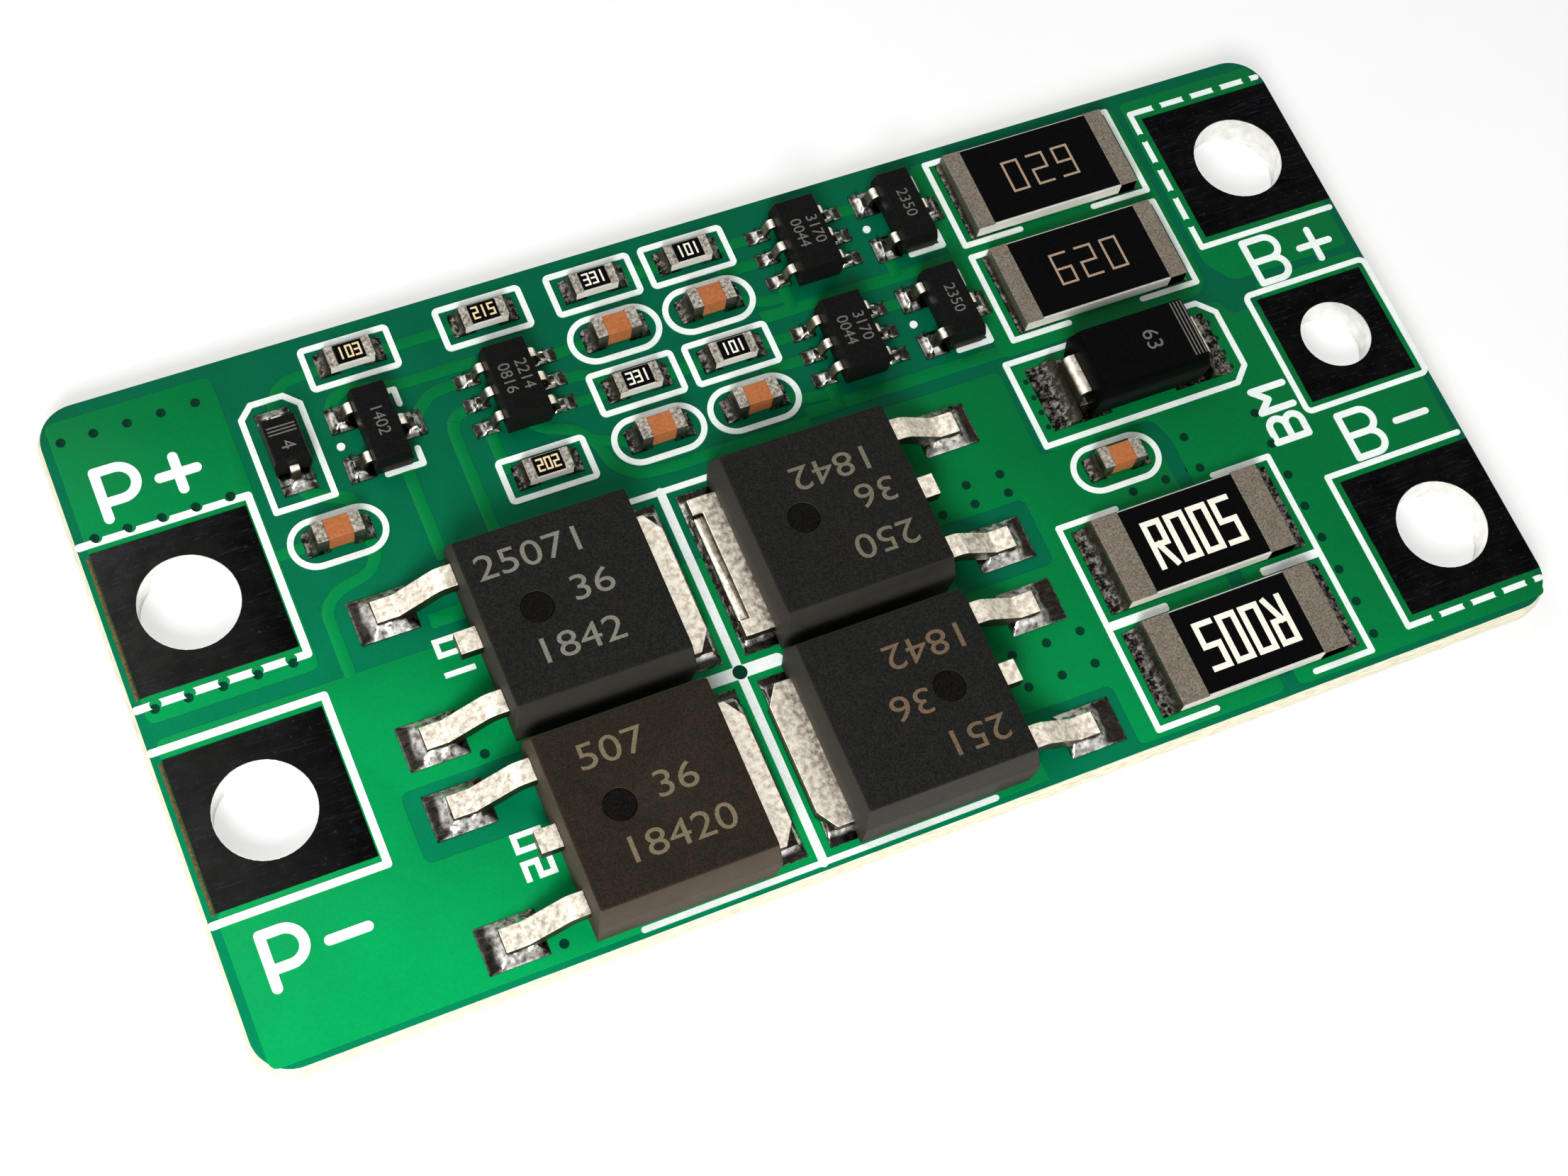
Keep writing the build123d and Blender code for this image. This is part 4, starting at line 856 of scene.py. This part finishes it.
# Round dips left by the moulding pins: near the leads, but on the second case away from them
pin_shift = (-1.15, -1.15, -1.15, 1.15)
dips = [(x + shift, y) for (x, y, side), shift in zip(transistor_seats, pin_shift)]
dip_profile = (
    (0.545, case_level - 0.057), (0.5, case_level - 0.03), (0.42, case_level - 0.036),
    (0.3, case_level - 0.05), (0.16, case_level - 0.03), (0.05, case_level - 0.028),
)
# The dips are painted near-black: painted shade in their shallow dishes
put_in("moulding_pin_marks", turned_discs(dip_profile, dips, 40), dip_painted_shade)

controller_level = CONTROLLER_TOP - MARK_SINK
small_digit = 0.42
controller_texts = (("2214", "0816"), ("3170", "0044"), ("3170", "0044"))
for number, ((x, y), texts) in enumerate(zip(controller_centres, controller_texts), start=1):
    for row, text in enumerate(texts):
        written(
            f"controller_mark_{number}_{row}", text, (x + 0.3 - 0.6 * row, y),
            small_digit, -1, controller_level, faint_mark,
        )
dot_profile = (
    (0.14, controller_level - 0.01), (0.14, controller_level + 0.003),
    (0.1, controller_level + 0.001), (0.03, controller_level),
)
dots = [(x - 0.5, y + 1.12) for x, y in controller_centres]
# The corner dots take the same painted shade as the pin dips
put_in("controller_corner_dots", turned_discs(dot_profile, dots, 24), dip_painted_shade)
small_texts = ("1402", "2350", "2350")
for number, (centre, text) in enumerate(zip(small_transistor_centres, small_texts), start=1):
    written(
        f"small_transistor_mark_{number}", text, centre,
        small_digit, -1, SMALL_TRANSISTOR_TOP - MARK_SINK, faint_mark,
    )
written(
    "power_diode_mark", "63", (12.9, 1.12), 0.6, -1,
    POWER_DIODE_TOP - MARK_SINK, faint_mark,
)
written("small_diode_mark", "4", (-15.675, 7.5), 0.5, -1, SMALL_DIODE_TOP + 0.003, faint_mark)

# Thin bands at one end of each diode
band_width, band_step, band_edge = 0.05, 0.13, 0.005
bands = [
    plate(box_outline(left, 0.05, left + band_width, 2.2),
          POWER_DIODE_TOP - 0.05, POWER_DIODE_TOP + 0.004, band_edge)
    for left in 14.1 + band_step * np.arange(4)
]
bands += [
    plate(box_outline(-16.15, low, -15.2, low + band_width),
          SMALL_DIODE_TOP - 0.045, SMALL_DIODE_TOP + 0.005, band_edge)
    for low in 8.2 - band_step * np.arange(3)
]
put_in("diode_stripes", bands, faint_mark)


# Floor, light and camera

def floor_finish():
    """Pale floor that keeps the shadow; the camera also sees part of it as plain white."""
    material, nodes, links, shader, place = blank_finish("pale_floor")
    speck = grain(nodes, links, place, size=6.0, detail=3.0)
    pale = graded(nodes, links, speck, ((0.3, grey(0.93)), (0.7, grey(0.95))))
    links.new(pale, shader.inputs["Base Color"])
    shader.inputs["Roughness"].default_value = 0.9
    shader.inputs["Specular IOR Level"].default_value = 0.1
    glow = nodes.new("ShaderNodeEmission")
    path = nodes.new("ShaderNodeLightPath")
    part = nodes.new("ShaderNodeMath")
    part.operation = "MULTIPLY"
    part.inputs[1].default_value = 0.5
    links.new(path.outputs["Is Camera Ray"], part.inputs[0])
    mix = nodes.new("ShaderNodeMixShader")
    links.new(part.outputs[0], mix.inputs[0])
    links.new(shader.outputs[0], mix.inputs[1])
    links.new(glow.outputs[0], mix.inputs[2])
    links.new(mix.outputs[0], nodes["Material Output"].inputs["Surface"])
    return material


def studio_floor():
    """Level square about the board's middle, a little under it, as a grid of points."""
    half, level, steps = 900, -0.01, 3
    side = np.linspace(-half, half, steps)
    x, y = np.meshgrid(side, side, indexing="ij")
    points = np.stack([x, y, np.full_like(x, level)], axis=-1).reshape(-1, 3)
    quads = grid_faces(steps, steps)[1]
    mesh = bpy.data.meshes.new("floor")
    mesh.from_pydata((points * MM).tolist(), [], quads.tolist())
    floor = bpy.data.objects.new("floor", mesh)
    bpy.context.scene.collection.objects.link(floor)
    mesh.materials.append(floor_finish())


def soft_box(name, place, aim, size, power):
    """Square soft light at a place in millimetres, turned to shine on aim."""
    lamp = bpy.data.lights.new(name, "AREA")
    lamp.size = size * MM
    lamp.energy = power
    holder = bpy.data.objects.new(name, lamp)
    holder.location = Vector(place) * MM
    holder.rotation_euler = (Vector(aim) - Vector(place)).to_track_quat("-Z", "Y").to_euler()
    bpy.context.scene.collection.objects.link(holder)


def white_surroundings(level):
    """World that lights at a level, and that the camera, metal and glass see as white."""
    world = bpy.data.worlds.new("surroundings")
    bpy.context.scene.world = world
    world.use_nodes = True
    nodes, links = world.node_tree.nodes, world.node_tree.links
    background = nodes["Background"]
    path = nodes.new("ShaderNodeLightPath")
    seen = path.outputs["Is Camera Ray"]
    for ray in ("Is Glossy Ray", "Is Transmission Ray"):
        either = nodes.new("ShaderNodeMath")
        either.operation = "MAXIMUM"
        links.new(seen, either.inputs[0])
        links.new(path.outputs[ray], either.inputs[1])
        seen = either.outputs[0]
    strength = nodes.new("ShaderNodeMapRange")
    strength.inputs["To Min"].default_value = level
    strength.inputs["To Max"].default_value = 1.0
    links.new(seen, strength.inputs["Value"])
    links.new(strength.outputs["Result"], background.inputs["Strength"])
    background.inputs["Color"].default_value = WHITE


studio_floor()
white_surroundings(0.38)
soft_box("key", (-62, -88, 96), (-8, -4, 0), size=50, power=0.21)
soft_box("fill", (-120, 150, 200), (0, 0, 0), size=200, power=0.2)

# The camera's place in millimetres, and the directions of its right, up and back
eye_place = (-24.799, -30.132, 77.795)
eye = bpy.data.cameras.new("camera")
eye.sensor_width = 36.0
eye.lens = 58.956
eye.clip_start, eye.clip_end = 0.002, 10.0
camera = bpy.data.objects.new("camera", eye)
right = Vector((0.91144457, -0.39087593, 0.12839314))
up = Vector((0.31171956, 0.8597515, 0.404547))
back = Vector((-0.26851388, -0.32869951, 0.90545951))
turn = Matrix((right, up, back)).transposed().to_4x4()
camera.matrix_world = Matrix.Translation(Vector(eye_place) * MM) @ turn
bpy.context.scene.collection.objects.link(camera)
bpy.context.scene.camera = camera
bpy.context.scene.view_settings.view_transform = "Standard"
